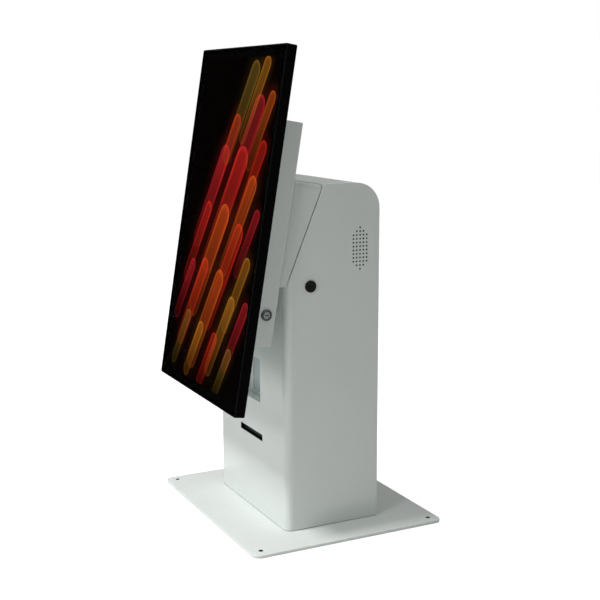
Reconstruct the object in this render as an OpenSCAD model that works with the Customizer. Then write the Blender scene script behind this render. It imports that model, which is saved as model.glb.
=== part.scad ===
// Countertop self-service kiosk.
// A folded sheet pedestal on a bolt-down plate carries a hinged hood, the hood carries a shallow
// housing, and a portrait touch display hangs on the housing like a door. A receipt printer and a
// code scanner look out of the front panel, and a service door closes the back.
// Millimetres, +Z up, the user stands on the -Y side, origin at the centre of the base's underside.

/* [Base plate] */
// Width of the base plate
base_w = 400; // [360:1:480]
// Depth of the base plate
base_d = 340; // [310:1:420]
// Thickness of the base plate
base_t = 5; // [4:0.5:10]
// Corner radius of the base plate
base_r = 14; // [6:1:30]
// Diameter of the fixing holes in the corners
base_hole_d = 7; // [5:0.5:10]
// Distance of the fixing holes from the plate's edges
base_hole_inset = 18; // [12:1:30]
// Diameter of the cable hole
cable_hole_d = 34; // [26:1:40]

/* [Pedestal] */
// Width of the pedestal
ped_w = 270; // [256:1:310]
// Depth of the pedestal
ped_d = 166; // [164:1:190]
// Middle of the pedestal, measured back from the middle of the base
ped_shift = -1.8; // [-8:0.1:8]
// Height of the pedestal's top above the counter
ped_top = 559; // [545:1:600]
// Thickness of the folded sheet
sheet = 1.5; // [1:0.1:2]
// Outer radius of the pedestal's two front bends
bend_r = 13; // [8:1:18]
// Radius of the roll from the top into the back
roll_r = 41; // [25:1:50]
// Width of the foot flange inside the pedestal
flange = 16; // [13:1:20]

/* [Hood] */
// Distance of the seam from the front panel, at the top
seam_run = 65.7; // [60:0.1:70]
// Height of the seam
seam_drop = 158; // [150:1:162]
// Width of the open seam round the hood
seam_gap = 1.6; // [1:0.1:2.5]
// Height of the hood's lower edge above the seam's lower end
hood_rise = 3; // [2:0.5:6]
// Step from the pedestal's top down to the hood's top
hood_step = 1.5; // [0:0.1:3]
// Depth of the hood's top, from the seam to the front
hood_depth = 54.1; // [50:0.1:60]
// Outer radius of the hood's two front bends
hood_bend_r = 12; // [8:1:16]
// Outer radius of the bends along both sides of the hood's top
hood_top_r = 10; // [6:0.5:11]

/* [Display] */
// Backward lean of the display
disp_tilt = 9.4; // [6:0.1:12]
// Width of the display
disp_w = 329; // [322:1:345]
// Height of the display
disp_h = 561; // [552:1:600]
// Thickness of the display
disp_t = 16; // [14:0.5:20]
// Corner radius of the display
disp_r = 4; // [3:0.5:8]
// Wall of the display's frame
disp_wall = 2; // [1.5:0.1:3]
// Thickness of the cover glass
glass_t = 3; // [2:0.5:4]
// Width of the lit screen
screen_w = 296.5; // [280:0.5:300]
// Height of the lit screen
screen_h = 527; // [500:0.5:532]
// Distance of the display's middle below the seam's upper end, along the display
disp_drop = 85.2; // [78:0.1:92]

/* [Housing] */
// Width of the housing behind the display
house_w = 292; // [284:1:300]
// Height of the housing
house_h = 343; // [330:1:380]
// Depth of the housing
house_d = 35.3; // [34.5:0.1:40]
// Gap between the display's back and the housing
house_gap = 2; // [1.6:0.1:3]
// Outer radius of the housing's bends
house_r = 3; // [2:0.5:6]

/* [Receipt slot] */
// Width of the receipt slot
slot_w = 88; // [86:1:96]
// Height of the receipt slot
slot_h = 11; // [9:0.5:14]
// Height of the receipt slot's middle above the counter
slot_z = 136.5; // [126:0.5:146]

/* [Scanner window] */
// Width and height of the scanner's recess
win = 72.5; // [66:0.5:78]
// Height of the recess's middle above the counter
win_z = 232; // [226:1:246]
// Depth of the recess
pocket_d = 18; // [14:1:20]

/* [Locks] */
// Diameter of a lock's head
lock_head_d = 19; // [18:0.5:22]
// Diameter of the housing lock's head
house_head_d = 17.5; // [17:0.5:20]
// Height of a lock's head
lock_head_h = 3; // [2:0.5:4]
// Diameter of a lock's barrel
lock_barrel_d = 16; // [14.5:0.5:16.5]
// Length of a lock's barrel behind the sheet's face
lock_len = 21; // [18:1:23]
// Distance of the side lock behind the front panel
side_lock_back = 42.8; // [40:0.2:46]
// Height of the side lock above the counter
side_lock_z = 401.5; // [396:0.5:404]
// Height of the housing's lock above the housing's lower end
house_lock_up = 48.5; // [35:0.5:62]
// Height of the rear door's lock above the counter
rear_lock_z = 250; // [225:1:270]

/* [Speakers] */
// Height of the speakers' middle above the counter
spk_z = 456; // [440:1:480]
// Distance of the speakers' middle from the back
spk_back = 35; // [28:1:45]
// Pitch of the sound holes
spk_pitch = 6; // [5.5:0.1:6.4]
// Diameter of a sound hole
spk_hole_d = 3; // [2:0.1:3.6]

/* [Rear door] */
// Width of the rear door's opening
door_w = 200; // [190:1:206]
// Height of the opening's lower edge above the counter
door_z0 = 62; // [60:1:70]
// Height of the opening's upper edge above the counter
door_z1 = 430; // [420:1:440]

/* [Hinges] */
// Outer radius of a hinge's knuckles
hinge_r = 4; // [3.5:0.1:4.4]
// Radius of a hinge's pin
pin_r = 1.75; // [1.5:0.05:2]
// Length of a hinge
hinge_len = 32; // [26:1:36]

/* [Printer] */
// Radius of the platen roller
platen_r = 6; // [5:0.5:7]
// Radius of a full paper roll
roll_paper_r = 32; // [26:1:32]
// Width of the receipt paper
paper_w = 79.5; // [57:0.5:80]

/* [Hidden] */
$fn = 48;

// Fits: a turning shaft in its hole, a part beside a moving neighbour, a piece laid in a cut-out
run_fit = 0.05;
move_gap = 0.4;
lay_fit = 0.2;

// Places in the side view, as [depth, height]
yf = ped_shift - ped_d / 2;
yr = ped_shift + ped_d / 2;
seam_top = [yf + seam_run, ped_top];
seam_low = [yf, ped_top - seam_drop];
seam_len = norm(seam_top - seam_low);
seam_dir = (seam_top - seam_low) / seam_len;
seam_back = [seam_dir[1], -seam_dir[0]];
seam_tilt = atan2(seam_run, seam_drop);
hood_bottom = seam_low[1] + hood_rise;
seam_fold = 14;
fold_x = 100;
far = 400;

// The display's own frame: X across, Y into the display, Z up along its face
house_n = disp_t + house_gap;
hood_n = house_n + house_d;
hood_v = disp_drop - hood_step;
reach = hood_n + hood_depth;
disp_y = seam_top[0] - reach * cos(disp_tilt) - disp_drop * sin(disp_tilt);
disp_z = ped_top + reach * sin(disp_tilt) - disp_drop * cos(disp_tilt);

// Hinge leaves
leaf_t = 1.5;
leaf_gap = 0.6;
leaf_w = 17;
hinge_seat = hinge_r + move_gap;
hood_hinge_at = [60, 140];
hood_leaf_w = 13;
rear_hinge_at = [door_z0 + 50, door_z1 - 50];
house_hinge_at = [-115, 115];
house_leaf_w = (disp_w - house_w) / 2 - hinge_seat - 1.5;
house_axis_x = -house_w / 2 - hinge_seat;
house_axis_n = disp_t + hinge_seat;
rest_x = 90;
rest_w = 20;

// Lock parts
lock_r = lock_barrel_d / 2;
plug_r = 5.5;
stud_r = 3;
cam_t = 3;
cam_w = 8;
nut_t = 4;
nut_flats = 21;
cam_start = lock_len + move_gap;
side_cam = 40;
house_cam = 17;
rear_cam = 34;
side_lock_y = yf + side_lock_back;
house_lock_n = house_n + house_d / 2 + 1;
house_lock_v = house_lock_up - house_h / 2;
rear_lock_x = -door_w / 2 + 20;

// Bolts of the housing and screws of the base
bolt_u = 75;
bolt_v = 50;
bolt_r = 2.5;
hood_cable_d = 40;
screw_r = 2.5;
foot_screw_y = [yf + 40, ped_shift, yr - 40];
foot_screw_x = ped_w / 2 - sheet - flange / 2;

// Printer places
stand_top = slot_z - 46;
stand_w = 140;
stand_y0 = yf + 8;
stand_y1 = yr - 16;
foot_w = 16;
chassis_w = 116;
chassis_wall = 4;
chassis_y0 = yf + 6;
chassis_d = 78;
chassis_y1 = chassis_y0 + chassis_d;
chassis_in = chassis_w / 2 - chassis_wall;
chassis_rise = 14;
platen_y = yf + 21 + platen_r;
platen_z = slot_z - platen_r;
platen_w = 82;
shaft_r = 2.5;
paper_gap = 0.4;
gear_m = 0.7;
gear_teeth = 40;
pinion_teeth = 15;
gear_t = 5;
gear_x = chassis_w / 2 + 1;
gear_dist = gear_m * (gear_teeth + pinion_teeth) / 2 + 0.1;
gear_angle = -35;
motor_y = platen_y + gear_dist * cos(gear_angle);
motor_z = platen_z + gear_dist * sin(gear_angle);
motor_r = 12;
motor_len = 18;
motor_shaft_r = 1.5;
lid_y = chassis_y1 - 6;
lid_z = slot_z + 10;
lid_t = 4;
lid_pin_r = 1.8;
button_x = 48;
button_z = stand_top + 25;
button_r = 3.5;
button_flange_r = 5;
cutter_y0 = yf + 7;
cutter_y1 = yf + 19;
blade_y = (cutter_y0 + cutter_y1) / 2;
blade_t = 1.2;
blade_drop = 12;
mouth_x = platen_w / 2 + 1;
blade_x = mouth_x + 1;
cheek_t = 2;
cheek_r = 14;
roll_y = chassis_y1 + 3 + roll_paper_r;
roll_z = stand_top + cheek_t + roll_paper_r + 4;
cheek_x = paper_w / 2 + 1.8;
spindle_r = 6.2;

// Scanner places
pocket_wall = 1.5;
pocket_flange = 10;
pocket_back = yf + sheet + pocket_d;
window_t = 3;
scan_w = 46;
scan_h = 38;
scan_d = 30;
scan_y = pocket_back + window_t + pocket_wall;

// Equipment and power
tray_z = 298;
tray_y0 = yf + 26;
tray_y1 = yr - 18;
pc_w = 150;
pc_d = 112;
pc_h = 36;
psu_w = 110;
board_w = 130;
board_h = 90;
psu_d = 58;
psu_h = 34;
psu_y = ped_shift - 18;
cable_y = ped_shift + 46;
vent_z = 474;
door_gap = 1;
door_fold = 12;
inlet_x = 35 - ped_w / 2;
inlet_z = 32;
inlet_w = 48;
inlet_h = 27;
inlet_d = 28;
rocker_x = inlet_x - 13.5;
rocker_tilt = 8;
rocker_pin_r = 1.5;
rocker_y = yr - 2;

// Speakers: count of sound holes in each column
spk_columns = [8, 10, 12, 10, 8];
spk_y = yr - spk_back;
spk_h = 88;
spk_w = 44;
spk_rim = 6;
spk_wall = 4;
spk_basket_d = 10;

// Colours
white = [0.86, 0.88, 0.87];
black = [0.03, 0.03, 0.035];
dark = [0.12, 0.12, 0.13];
steel = [0.62, 0.63, 0.64];
brass = [0.75, 0.62, 0.32];
green = [0.1, 0.32, 0.2];

// Shared shapes

// A point on the seam, s along it from its lower end and off behind it
function seam_point(s, off) = seam_low + s * seam_dir + off * seam_back;

// The seam's height at depth y, with the seam moved back by off
function seam_height(y, off) =
    let (p = seam_low + off * seam_back) p[1] + (y - p[0]) * seam_drop / seam_run;

// The seam's point at height z, with the seam moved back by off
function seam_at(z, off) =
    let (p = seam_low + off * seam_back) [p[0] + (z - p[1]) * seam_run / seam_drop, z];

module on_display() translate([0, disp_y, disp_z]) rotate([-disp_tilt, 0, 0]) children();

// A side-view outline as a bar across the kiosk, between two places on X
module bar_x(x0, x1) translate([x0, 0, 0]) rotate([90, 0, 90]) linear_extrude(x1 - x0) children();

module box(low, high) translate(low) cube(high - low);

// Plan of a sheet folded round two front edges, filled
module fold_plan(w, front, back, r) {
    translate([-w / 2, front + r]) square([w, back - front - r]);
    translate([-w / 2 + r, front]) square([w - 2 * r, back - front]);
    for (s = [-1, 1]) translate([s * (w / 2 - r), front + r]) circle(r);
}

module rounded_plan(w, d, r) {
    square([w, d - 2 * r], center = true);
    square([w - 2 * r, d], center = true);
    for (sx = [-1, 1], sy = [-1, 1]) translate([sx * (w / 2 - r), sy * (d / 2 - r)]) circle(r);
}

module rod_x(x0, x1, r) translate([x0, 0, 0]) rotate([0, 90, 0]) cylinder(h = x1 - x0, r = r);

// Hinges: axis on Z from 0 to hinge_len, seat face at +Y, a leaf towards +X or -X

module hinge_leaf(dir, width, outer) {
    third = hinge_len / 3;
    gap = move_gap / 2;
    spans = outer
        ? [[0, third - gap], [2 * third + gap, hinge_len]]
        : [[third + gap, 2 * third - gap]];
    inner_x = hinge_r + leaf_gap;
    difference() {
        union() {
            translate([dir > 0 ? inner_x : -width, hinge_seat - leaf_t, 0])
                cube([width - inner_x, leaf_t, hinge_len]);
            for (k = spans) translate([0, 0, k[0]]) {
                cylinder(h = k[1] - k[0], r = hinge_r);
                translate([dir > 0 ? 0 : -inner_x - 0.1, hinge_seat - leaf_t, 0])
                    cube([inner_x + 0.1, leaf_t, k[1] - k[0]]);
            }
        }
        translate([0, 0, -1]) cylinder(h = hinge_len + 2, r = pin_r + run_fit);
    }
}

module hinge_pin() {
    cylinder(h = hinge_len, r = pin_r);
    translate([0, 0, -1]) cylinder(h = 1, r = pin_r + 1);
    translate([0, 0, hinge_len]) cylinder(h = 1, r = pin_r + 1);
}

module at_hood_hinges() for (s = hood_hinge_at) {
    p = seam_point(s, 0);
    translate([-ped_w / 2 - hinge_seat, p[0], p[1]]) rotate([-seam_tilt, 0, 0])
        rotate([0, 0, -90]) translate([0, 0, -hinge_len / 2]) children();
}

module at_rear_hinges() for (z = rear_hinge_at)
    translate([door_w / 2, yr + hinge_seat, z - hinge_len / 2]) rotate([0, 0, 180]) children();

module at_display_hinges(turn) on_display() for (v = house_hinge_at)
    translate([house_axis_x, house_axis_n, v - hinge_len / 2]) rotate([0, 0, turn]) children();

// Cam locks: axis on Z, the sheet's outer face at z = 0, the head above it

module lock_barrel(head_d) difference() {
    union() {
        cylinder(h = lock_head_h - 0.8, d = head_d);
        translate([0, 0, lock_head_h - 0.8]) cylinder(h = 0.8, d1 = head_d, d2 = head_d - 1.6);
        translate([0, 0, -lock_len]) cylinder(h = lock_len, r = lock_r);
    }
    translate([0, 0, -lock_len - 1]) cylinder(h = lock_len + lock_head_h + 2, r = plug_r + run_fit);
}

module lock_nut() translate([0, 0, -sheet - nut_t]) difference() {
    cylinder(h = nut_t, d = nut_flats / cos(30), $fn = 6);
    translate([0, 0, -1]) cylinder(h = nut_t + 2, r = lock_r + run_fit);
}

// The plug turns in the barrel; a keyway in its face, a stud at its tail
module lock_plug(turn) rotate([0, 0, turn]) difference() {
    union() {
        translate([0, 0, -cam_start]) cylinder(h = cam_start + lock_head_h - 0.6, r = plug_r);
        translate([0, 0, -cam_start - cam_t - 2]) cylinder(h = cam_t + 3, r = stud_r);
    }
    translate([0, 0, lock_head_h]) cube([1.5, 7, 12], center = true);
}

// The cam points along +Y before it is turned
module lock_cam(len, turn) rotate([0, 0, turn]) translate([0, 0, -cam_start - cam_t]) difference() {
    linear_extrude(cam_t) {
        circle(r = plug_r);
        translate([-cam_w / 2, 0]) square([cam_w, len - cam_w / 2]);
        translate([0, len - cam_w / 2]) circle(r = cam_w / 2);
    }
    translate([0, 0, -1]) cylinder(h = cam_t + 2, r = stud_r + run_fit);
}

module at_side_lock() translate([ped_w / 2, side_lock_y, side_lock_z]) rotate([0, 90, 0]) children();

module at_house_lock() on_display()
    translate([house_w / 2, house_lock_n, house_lock_v]) rotate([0, 90, 0]) children();

module at_rear_lock() translate([rear_lock_x, yr, rear_lock_z]) rotate([-90, 0, 0]) children();

// Gear outline: involute flanks, with a tooth on the +X axis

function involute(a) = tan(a) * 180 / PI - a;

module gear_plan(teeth, backlash) {
    pitch_r = gear_m * teeth / 2;
    base = pitch_r * cos(20);
    root = pitch_r - 1.25 * gear_m;
    tip = pitch_r + 0.9 * gear_m;
    steps = 4;
    half = 90 / teeth - backlash / pitch_r * 90 / PI + involute(20);
    flank = [for (i = [0 : steps]) let (r = base + (tip - base) * i / steps)
        [r, half - involute(acos(min(1, base / r)))]];
    tooth = concat(
        [[root, -half]],
        [for (p = flank) [p[0], -p[1]]],
        [for (i = [steps : -1 : 0]) flank[i]],
        [[root, half]]
    );
    polygon([for (t = [0 : teeth - 1], p = tooth)
        let (a = t * 360 / teeth + p[1]) p[0] * [cos(a), sin(a)]]);
}

// Base and pedestal

module at_foot_screws() {
    for (sx = [-1, 1], y = foot_screw_y) translate([sx * foot_screw_x, y, 0]) children();
    for (sx = [-1, 1], y = [stand_y0 + 20, stand_y1 - 20])
        translate([sx * (stand_w / 2 + foot_w / 2), y, 0]) children();
}

module base_plate() color(white) difference() {
    linear_extrude(base_t) rounded_plan(base_w, base_d, base_r);
    for (sx = [-1, 1], sy = [-1, 1])
        translate([sx * (base_w / 2 - base_hole_inset), sy * (base_d / 2 - base_hole_inset), -1])
            cylinder(h = base_t + 2, d = base_hole_d);
    translate([0, cable_y, -1]) cylinder(h = base_t + 2, d = cable_hole_d);
    at_foot_screws() translate([0, 0, -1]) cylinder(h = base_t + 2, r = screw_r + lay_fit);
}

module foot_screws() color(steel) at_foot_screws() {
    translate([0, 0, 0.5]) cylinder(h = base_t + sheet, r = screw_r);
    translate([0, 0, base_t + sheet]) cylinder(h = 1.6, r = 4.5);
    translate([0, 0, base_t + sheet + 1.6]) cylinder(h = 1.2, r1 = 4.5, r2 = 3);
}

module cable_grommet() color(black) translate([0, cable_y, 0]) rotate_extrude()
    polygon([
        [cable_hole_d / 2 - 3.5, 0.5], [cable_hole_d / 2 - lay_fit, 0.5],
        [cable_hole_d / 2 - lay_fit, base_t], [cable_hole_d / 2 + 3, base_t],
        [cable_hole_d / 2 + 2, base_t + 2], [cable_hole_d / 2 - 3.5, base_t + 2]
    ]);

// What the hood's seam takes away from the sheets behind it
module seam_cut() bar_x(-ped_w, ped_w) polygon([
    [yf, seam_height(yf, seam_gap / 2)],
    seam_point(seam_len * 1.3, seam_gap / 2),
    [yf - far, ped_top + far],
    [yf - far, seam_height(yf, seam_gap / 2)]
]);

module sound_holes() for (c = [0 : len(spk_columns) - 1], r = [0 : spk_columns[c] - 1])
    translate([
        0,
        spk_y + (c - (len(spk_columns) - 1) / 2) * spk_pitch,
        spk_z + (r - (spk_columns[c] - 1) / 2) * spk_pitch
    ]) {
        rod_x(ped_w / 2 - sheet - 1, ped_w / 2 + 1, spk_hole_d / 2);
        rod_x(-ped_w / 2 - 1, -ped_w / 2 + sheet + 1, spk_hole_d / 2);
    }

// Front and both sides from one sheet, with a foot flange at each side and a fold over the front panel
module pedestal_shell() color(white) difference() {
    union() {
        translate([0, 0, base_t]) linear_extrude(ped_top - base_t) difference() {
            fold_plan(ped_w, yf, yr, bend_r);
            fold_plan(ped_w - 2 * sheet, yf + sheet, yr + 1, bend_r - sheet);
        }
        for (s = [-1, 1]) translate([s * (ped_w - sheet - flange) / 2, ped_shift, base_t + sheet / 2])
            cube([flange, ped_d - 2 * bend_r, sheet], center = true);
        bar_x(-fold_x, fold_x) polygon([
            seam_point(0, seam_gap / 2), seam_point(seam_fold, seam_gap / 2),
            seam_point(seam_fold, seam_gap / 2 + sheet), seam_point(0, seam_gap / 2 + sheet)
        ]);
    }
    seam_cut();
    bar_x(-ped_w, ped_w) translate([yr - roll_r, ped_top - roll_r]) difference() {
        square(roll_r + 1);
        circle(roll_r);
    }
    box([-slot_w / 2, yf - 1, slot_z - slot_h / 2], [slot_w / 2, yf + sheet + 1, slot_z + slot_h / 2]);
    box([-win / 2, yf - 1, win_z - win / 2], [win / 2, yf + sheet + 1, win_z + win / 2]);
    translate([0, side_lock_y, side_lock_z]) rod_x(ped_w / 2 - sheet - 1, ped_w / 2 + 1, lock_r + lay_fit);
    sound_holes();
    at_foot_screws() translate([0, 0, base_t - 1]) cylinder(h = sheet + 2, r = screw_r + lay_fit);
}

// Side view of the top rolled into the back, filled
module cover_side(inset) {
    r = roll_r - inset;
    translate([seam_top[0] - far, base_t - inset]) square([yr - roll_r + far - seam_top[0], ped_top - base_t]);
    translate([seam_top[0] - far, base_t - inset])
        square([yr - inset + far - seam_top[0], ped_top - base_t - roll_r + inset]);
    translate([yr - roll_r, ped_top - roll_r]) circle(r);
}

// Top and back from one sheet, between the two sides, with the plate that the rear cam catches and the
// rear door's two stops
module top_back_cover() color(white) {
    half = ped_w / 2 - sheet;
    lip = 12;
    beside = half - door_w / 2;
    tab_x = -door_w / 2 - 0.78 * beside;
    tab_w = 0.63 * beside;
    stop_x = -door_w / 2 - 0.36 * beside;
    stop_w = 0.36 * beside + 6;
    difference() {
        bar_x(-half, half) difference() {
            cover_side(0);
            cover_side(sheet);
        }
        seam_cut();
        box([-door_w / 2, yr - sheet - 1, door_z0], [door_w / 2, yr + 1, door_z1]);
        box(
            [inlet_x - inlet_w / 2, yr - sheet - 1, inlet_z - inlet_h / 2],
            [inlet_x + inlet_w / 2, yr + 1, inlet_z + inlet_h / 2]
        );
        for (i = [-3 : 3]) translate([i * 18, yr + 1, vent_z]) rotate([90, 0, 0]) {
            linear_extrude(sheet + 2) square([5, 34], center = true);
            for (s = [-1, 1]) translate([0, s * 17, 0]) cylinder(h = sheet + 2, d = 5, $fn = 24);
        }
    }
    bar_x(-half, half) polygon([
        seam_point(seam_len - lip, seam_gap / 2),
        seam_point(seam_len - sheet / 2, seam_gap / 2),
        seam_point(seam_len - sheet / 2, seam_gap / 2 + sheet),
        seam_point(seam_len - lip, seam_gap / 2 + sheet)
    ]);
    box([tab_x, yr - lock_len, rear_lock_z - 14], [tab_x + tab_w, yr - lock_len + sheet, rear_lock_z + 14]);
    box([tab_x, yr - lock_len, rear_lock_z - 14], [tab_x + sheet, yr - sheet / 2, rear_lock_z + 14]);
    for (z = [door_z0 + 40, door_z1 - 40]) {
        box([stop_x, yr - door_fold - sheet, z - 8], [stop_x + stop_w, yr - door_fold, z + 8]);
        box([stop_x, yr - door_fold - sheet, z - 8], [stop_x + sheet, yr - sheet / 2, z + 8]);
    }
}

module hood_hinge_fixed_leaves() color(steel) at_hood_hinges() hinge_leaf(-1, leaf_w, true);

module hood_hinge_pins() color(steel) at_hood_hinges() hinge_pin();

module rear_hinge_fixed_leaves() color(steel) at_rear_hinges() hinge_leaf(-1, leaf_w, true);

module rear_hinge_pins() color(steel) at_rear_hinges() hinge_pin();

module side_lock_barrel() color(black) at_side_lock() lock_barrel(lock_head_d);

module side_lock_nut() color(steel) at_side_lock() lock_nut();

module side_lock_plug() color(dark) at_side_lock() lock_plug(0);

module side_lock_cam() color(steel) at_side_lock() lock_cam(side_cam, 180);

// Power inlet with its rocker switch, low on the back

module power_inlet() color(black) {
    mouth = yr + 2.5;
    socket_x = inlet_x + 10;
    difference() {
        union() {
            box(
                [inlet_x - inlet_w / 2 - 2.5, yr, inlet_z - inlet_h / 2 - 2.5],
                [inlet_x + inlet_w / 2 + 2.5, mouth, inlet_z + inlet_h / 2 + 2.5]
            );
            box(
                [inlet_x - inlet_w / 2 + lay_fit, yr - inlet_d, inlet_z - inlet_h / 2 + lay_fit],
                [inlet_x + inlet_w / 2 - lay_fit, mouth, inlet_z + inlet_h / 2 - lay_fit]
            );
        }
        translate([socket_x, mouth + 1, inlet_z]) rotate([90, 0, 0]) linear_extrude(17)
            polygon([[-12, -8], [12, -8], [12, 3], [7, 8], [-7, 8], [-12, 3]]);
        box([rocker_x - 6.5, yr - 8, inlet_z - 10.2], [rocker_x + 6.5, mouth + 1, inlet_z + 10.2]);
        translate([rocker_x, rocker_y, inlet_z]) rod_x(-8.5, 8.5, rocker_pin_r + run_fit);
    }
    for (p = [[-7, -1.5], [0, 2.5], [7, -1.5]])
        box(
            [socket_x + p[0] - 1, mouth - 16.5, inlet_z + p[1] - 2],
            [socket_x + p[0] + 1, mouth - 3, inlet_z + p[1] + 2]
        );
}

module rocker_switch() color(dark) translate([rocker_x, rocker_y, inlet_z]) {
    rotate([-rocker_tilt, 0, 0]) bar_x(-6.1, 6.1)
        polygon([[-3.5, -7.5], [3.6, -8.6], [1.8, 0], [3.6, 8.6], [-3.5, 7.5]]);
    rod_x(-8, 8, rocker_pin_r);
}

// Receipt printer on its stand

module receipt_bezel() color(black) difference() {
    union() {
        box(
            [-slot_w / 2 + lay_fit, yf, slot_z - slot_h / 2 + lay_fit],
            [slot_w / 2 - lay_fit, yf + 5, slot_z + slot_h / 2 - lay_fit]
        );
        box(
            [-slot_w / 2 - 4, yf + sheet, slot_z - slot_h / 2 - 4],
            [slot_w / 2 + 4, yf + sheet + 2, slot_z + slot_h / 2 + 4]
        );
    }
    bar_x(-slot_w / 2 + 3, slot_w / 2 - 3) polygon([
        [yf - 1, slot_z - slot_h / 2 + 1], [yf + 6, slot_z - 3],
        [yf + 6, slot_z + 3], [yf - 1, slot_z + slot_h / 2 - 1]
    ]);
}

module printer_stand() color(steel) difference() {
    translate([0, stand_y1, 0]) rotate([90, 0, 0]) linear_extrude(stand_y1 - stand_y0) {
        translate([-stand_w / 2, stand_top - sheet]) square([stand_w, sheet]);
        for (s = [-1, 1]) {
            translate([s * (stand_w / 2 - sheet / 2) - sheet / 2, base_t])
                square([sheet, stand_top - base_t]);
            translate([s * (stand_w / 2 + foot_w / 2 - sheet / 2) - (foot_w + sheet) / 2, base_t])
                square([foot_w + sheet, sheet]);
        }
    }
    at_foot_screws() translate([0, 0, base_t - 1]) cylinder(h = sheet + 2, r = screw_r + lay_fit);
}

module printer_chassis() color(dark) difference() {
    union() {
        box([-chassis_w / 2, chassis_y0, stand_top], [chassis_w / 2, chassis_y1, stand_top + 4]);
        for (x = [-chassis_w / 2, chassis_in]) bar_x(x, x + chassis_wall) polygon([
            [chassis_y0, stand_top], [chassis_y1, stand_top], [chassis_y1, slot_z + 8],
            [chassis_y1 - 5, slot_z + chassis_rise], [chassis_y0 + 8, slot_z + chassis_rise],
            [chassis_y0, slot_z + 8]
        ]);
        box([-chassis_in, chassis_y1 - 3, stand_top], [chassis_in, chassis_y1, slot_z + 5]);
    }
    translate([0, platen_y, platen_z]) rod_x(-chassis_w, chassis_w, shaft_r + run_fit);
    translate([0, lid_y, lid_z]) rod_x(-chassis_w, chassis_w, lid_pin_r + run_fit);
    translate([0, motor_y, motor_z]) rod_x(chassis_in - 1, chassis_w, motor_shaft_r + run_fit);
    translate([button_x, chassis_y1 + 1, button_z]) rotate([90, 0, 0])
        cylinder(h = 5, r = button_r + run_fit);
}

module feed_motor() color(steel) translate([0, motor_y, motor_z]) difference() {
    union() {
        rod_x(chassis_in - motor_len, chassis_in, motor_r);
        rod_x(chassis_in - motor_len - 1, chassis_in - motor_len, motor_r - 2);
    }
    rod_x(chassis_in - 9, chassis_in + 1, motor_shaft_r + run_fit);
}

module motor_pinion() color(brass) {
    bar_x(gear_x, gear_x + gear_t) translate([motor_y, motor_z])
        rotate(gear_angle + 180 + 180 / pinion_teeth) gear_plan(pinion_teeth, 0.12);
    translate([0, motor_y, motor_z]) rod_x(chassis_in - 8, gear_x + gear_t + 1, motor_shaft_r);
}

module platen_shaft() color(steel) translate([0, platen_y, platen_z])
    rod_x(-chassis_w / 2 - 2, gear_x + gear_t + 2, shaft_r);

module platen_sleeve() color(dark) translate([0, platen_y, platen_z]) difference() {
    rod_x(-platen_w / 2, platen_w / 2, platen_r);
    rod_x(-platen_w, platen_w, shaft_r + run_fit / 2);
}

module platen_gear() color([0.9, 0.9, 0.86]) difference() {
    bar_x(gear_x, gear_x + gear_t) translate([platen_y, platen_z])
        rotate(gear_angle) gear_plan(gear_teeth, 0.12);
    translate([0, platen_y, platen_z]) rod_x(gear_x - 1, gear_x + gear_t + 1, shaft_r + run_fit / 2);
}

module cutter_housing() color(dark) difference() {
    box([-chassis_in, cutter_y0, slot_z - blade_drop - 1], [chassis_in, cutter_y1, slot_z + 7]);
    box([-mouth_x, cutter_y0 - 1, slot_z - 1.5], [mouth_x, cutter_y1 + 1, slot_z + 1.5]);
    box(
        [-blade_x - 1, blade_y - blade_t / 2 - move_gap, slot_z - blade_drop],
        [blade_x + 1, blade_y + blade_t / 2 + move_gap, slot_z + 4.5]
    );
}

module cutter_blade() color(steel) translate([0, blade_y + blade_t / 2, slot_z]) rotate([90, 0, 0])
    linear_extrude(blade_t) polygon([
        [-blade_x, -blade_drop], [blade_x, -blade_drop], [blade_x, -2.4], [0, -3.6], [-blade_x, -2.4]
    ]);

module printer_lid() color(dark) {
    box(
        [-chassis_in + move_gap, cutter_y1 + 1.5, lid_z - lid_t / 2],
        [chassis_in - move_gap, lid_y + 2.5, lid_z + lid_t / 2]
    );
    translate([0, lid_y, lid_z]) rod_x(-chassis_in - 3, chassis_in + 3, lid_pin_r);
}

module print_head() color(steel) box(
    [-platen_w / 2 - 1, platen_y - platen_r, slot_z + paper_gap],
    [platen_w / 2 + 1, platen_y + platen_r, lid_z - lid_t / 2]
);

module feed_button() color([0.2, 0.5, 0.3]) translate([button_x, chassis_y1, button_z])
    rotate([-90, 0, 0]) {
        translate([0, 0, -3 - move_gap]) cylinder(h = 6 + move_gap, r = button_r);
        translate([0, 0, -4.5 - move_gap]) cylinder(h = 1.5, r = button_flange_r);
    }

module roll_holder() color(steel) difference() {
    union() {
        box(
            [-cheek_x - cheek_t, roll_y - cheek_r, stand_top],
            [cheek_x + cheek_t, roll_y + cheek_r, stand_top + cheek_t]
        );
        for (x = [-cheek_x - cheek_t, cheek_x]) bar_x(x, x + cheek_t) {
            translate([roll_y - cheek_r, stand_top]) square([2 * cheek_r, roll_z - stand_top]);
            translate([roll_y, roll_z]) circle(cheek_r);
        }
    }
    translate([0, roll_y, roll_z]) rod_x(-cheek_x - 5, cheek_x + 5, spindle_r + run_fit);
}

module roll_spindle() color(dark) translate([0, roll_y, roll_z]) {
    rod_x(-cheek_x - cheek_t - 0.3, cheek_x + cheek_t + 0.3, spindle_r);
    for (x = [-cheek_x - cheek_t - 2, cheek_x + cheek_t + 0.3]) rod_x(x, x + 1.7, spindle_r + 2);
}

module paper_roll() color([0.95, 0.94, 0.9]) translate([0, roll_y, roll_z]) difference() {
    rod_x(-paper_w / 2, paper_w / 2, roll_paper_r);
    rod_x(-paper_w, paper_w, spindle_r + 2 * run_fit);
}

// Code scanner behind its recess

module window_box(half, y0, y1) box([-half, y0, win_z - half], [half, y1, win_z + half]);

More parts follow.
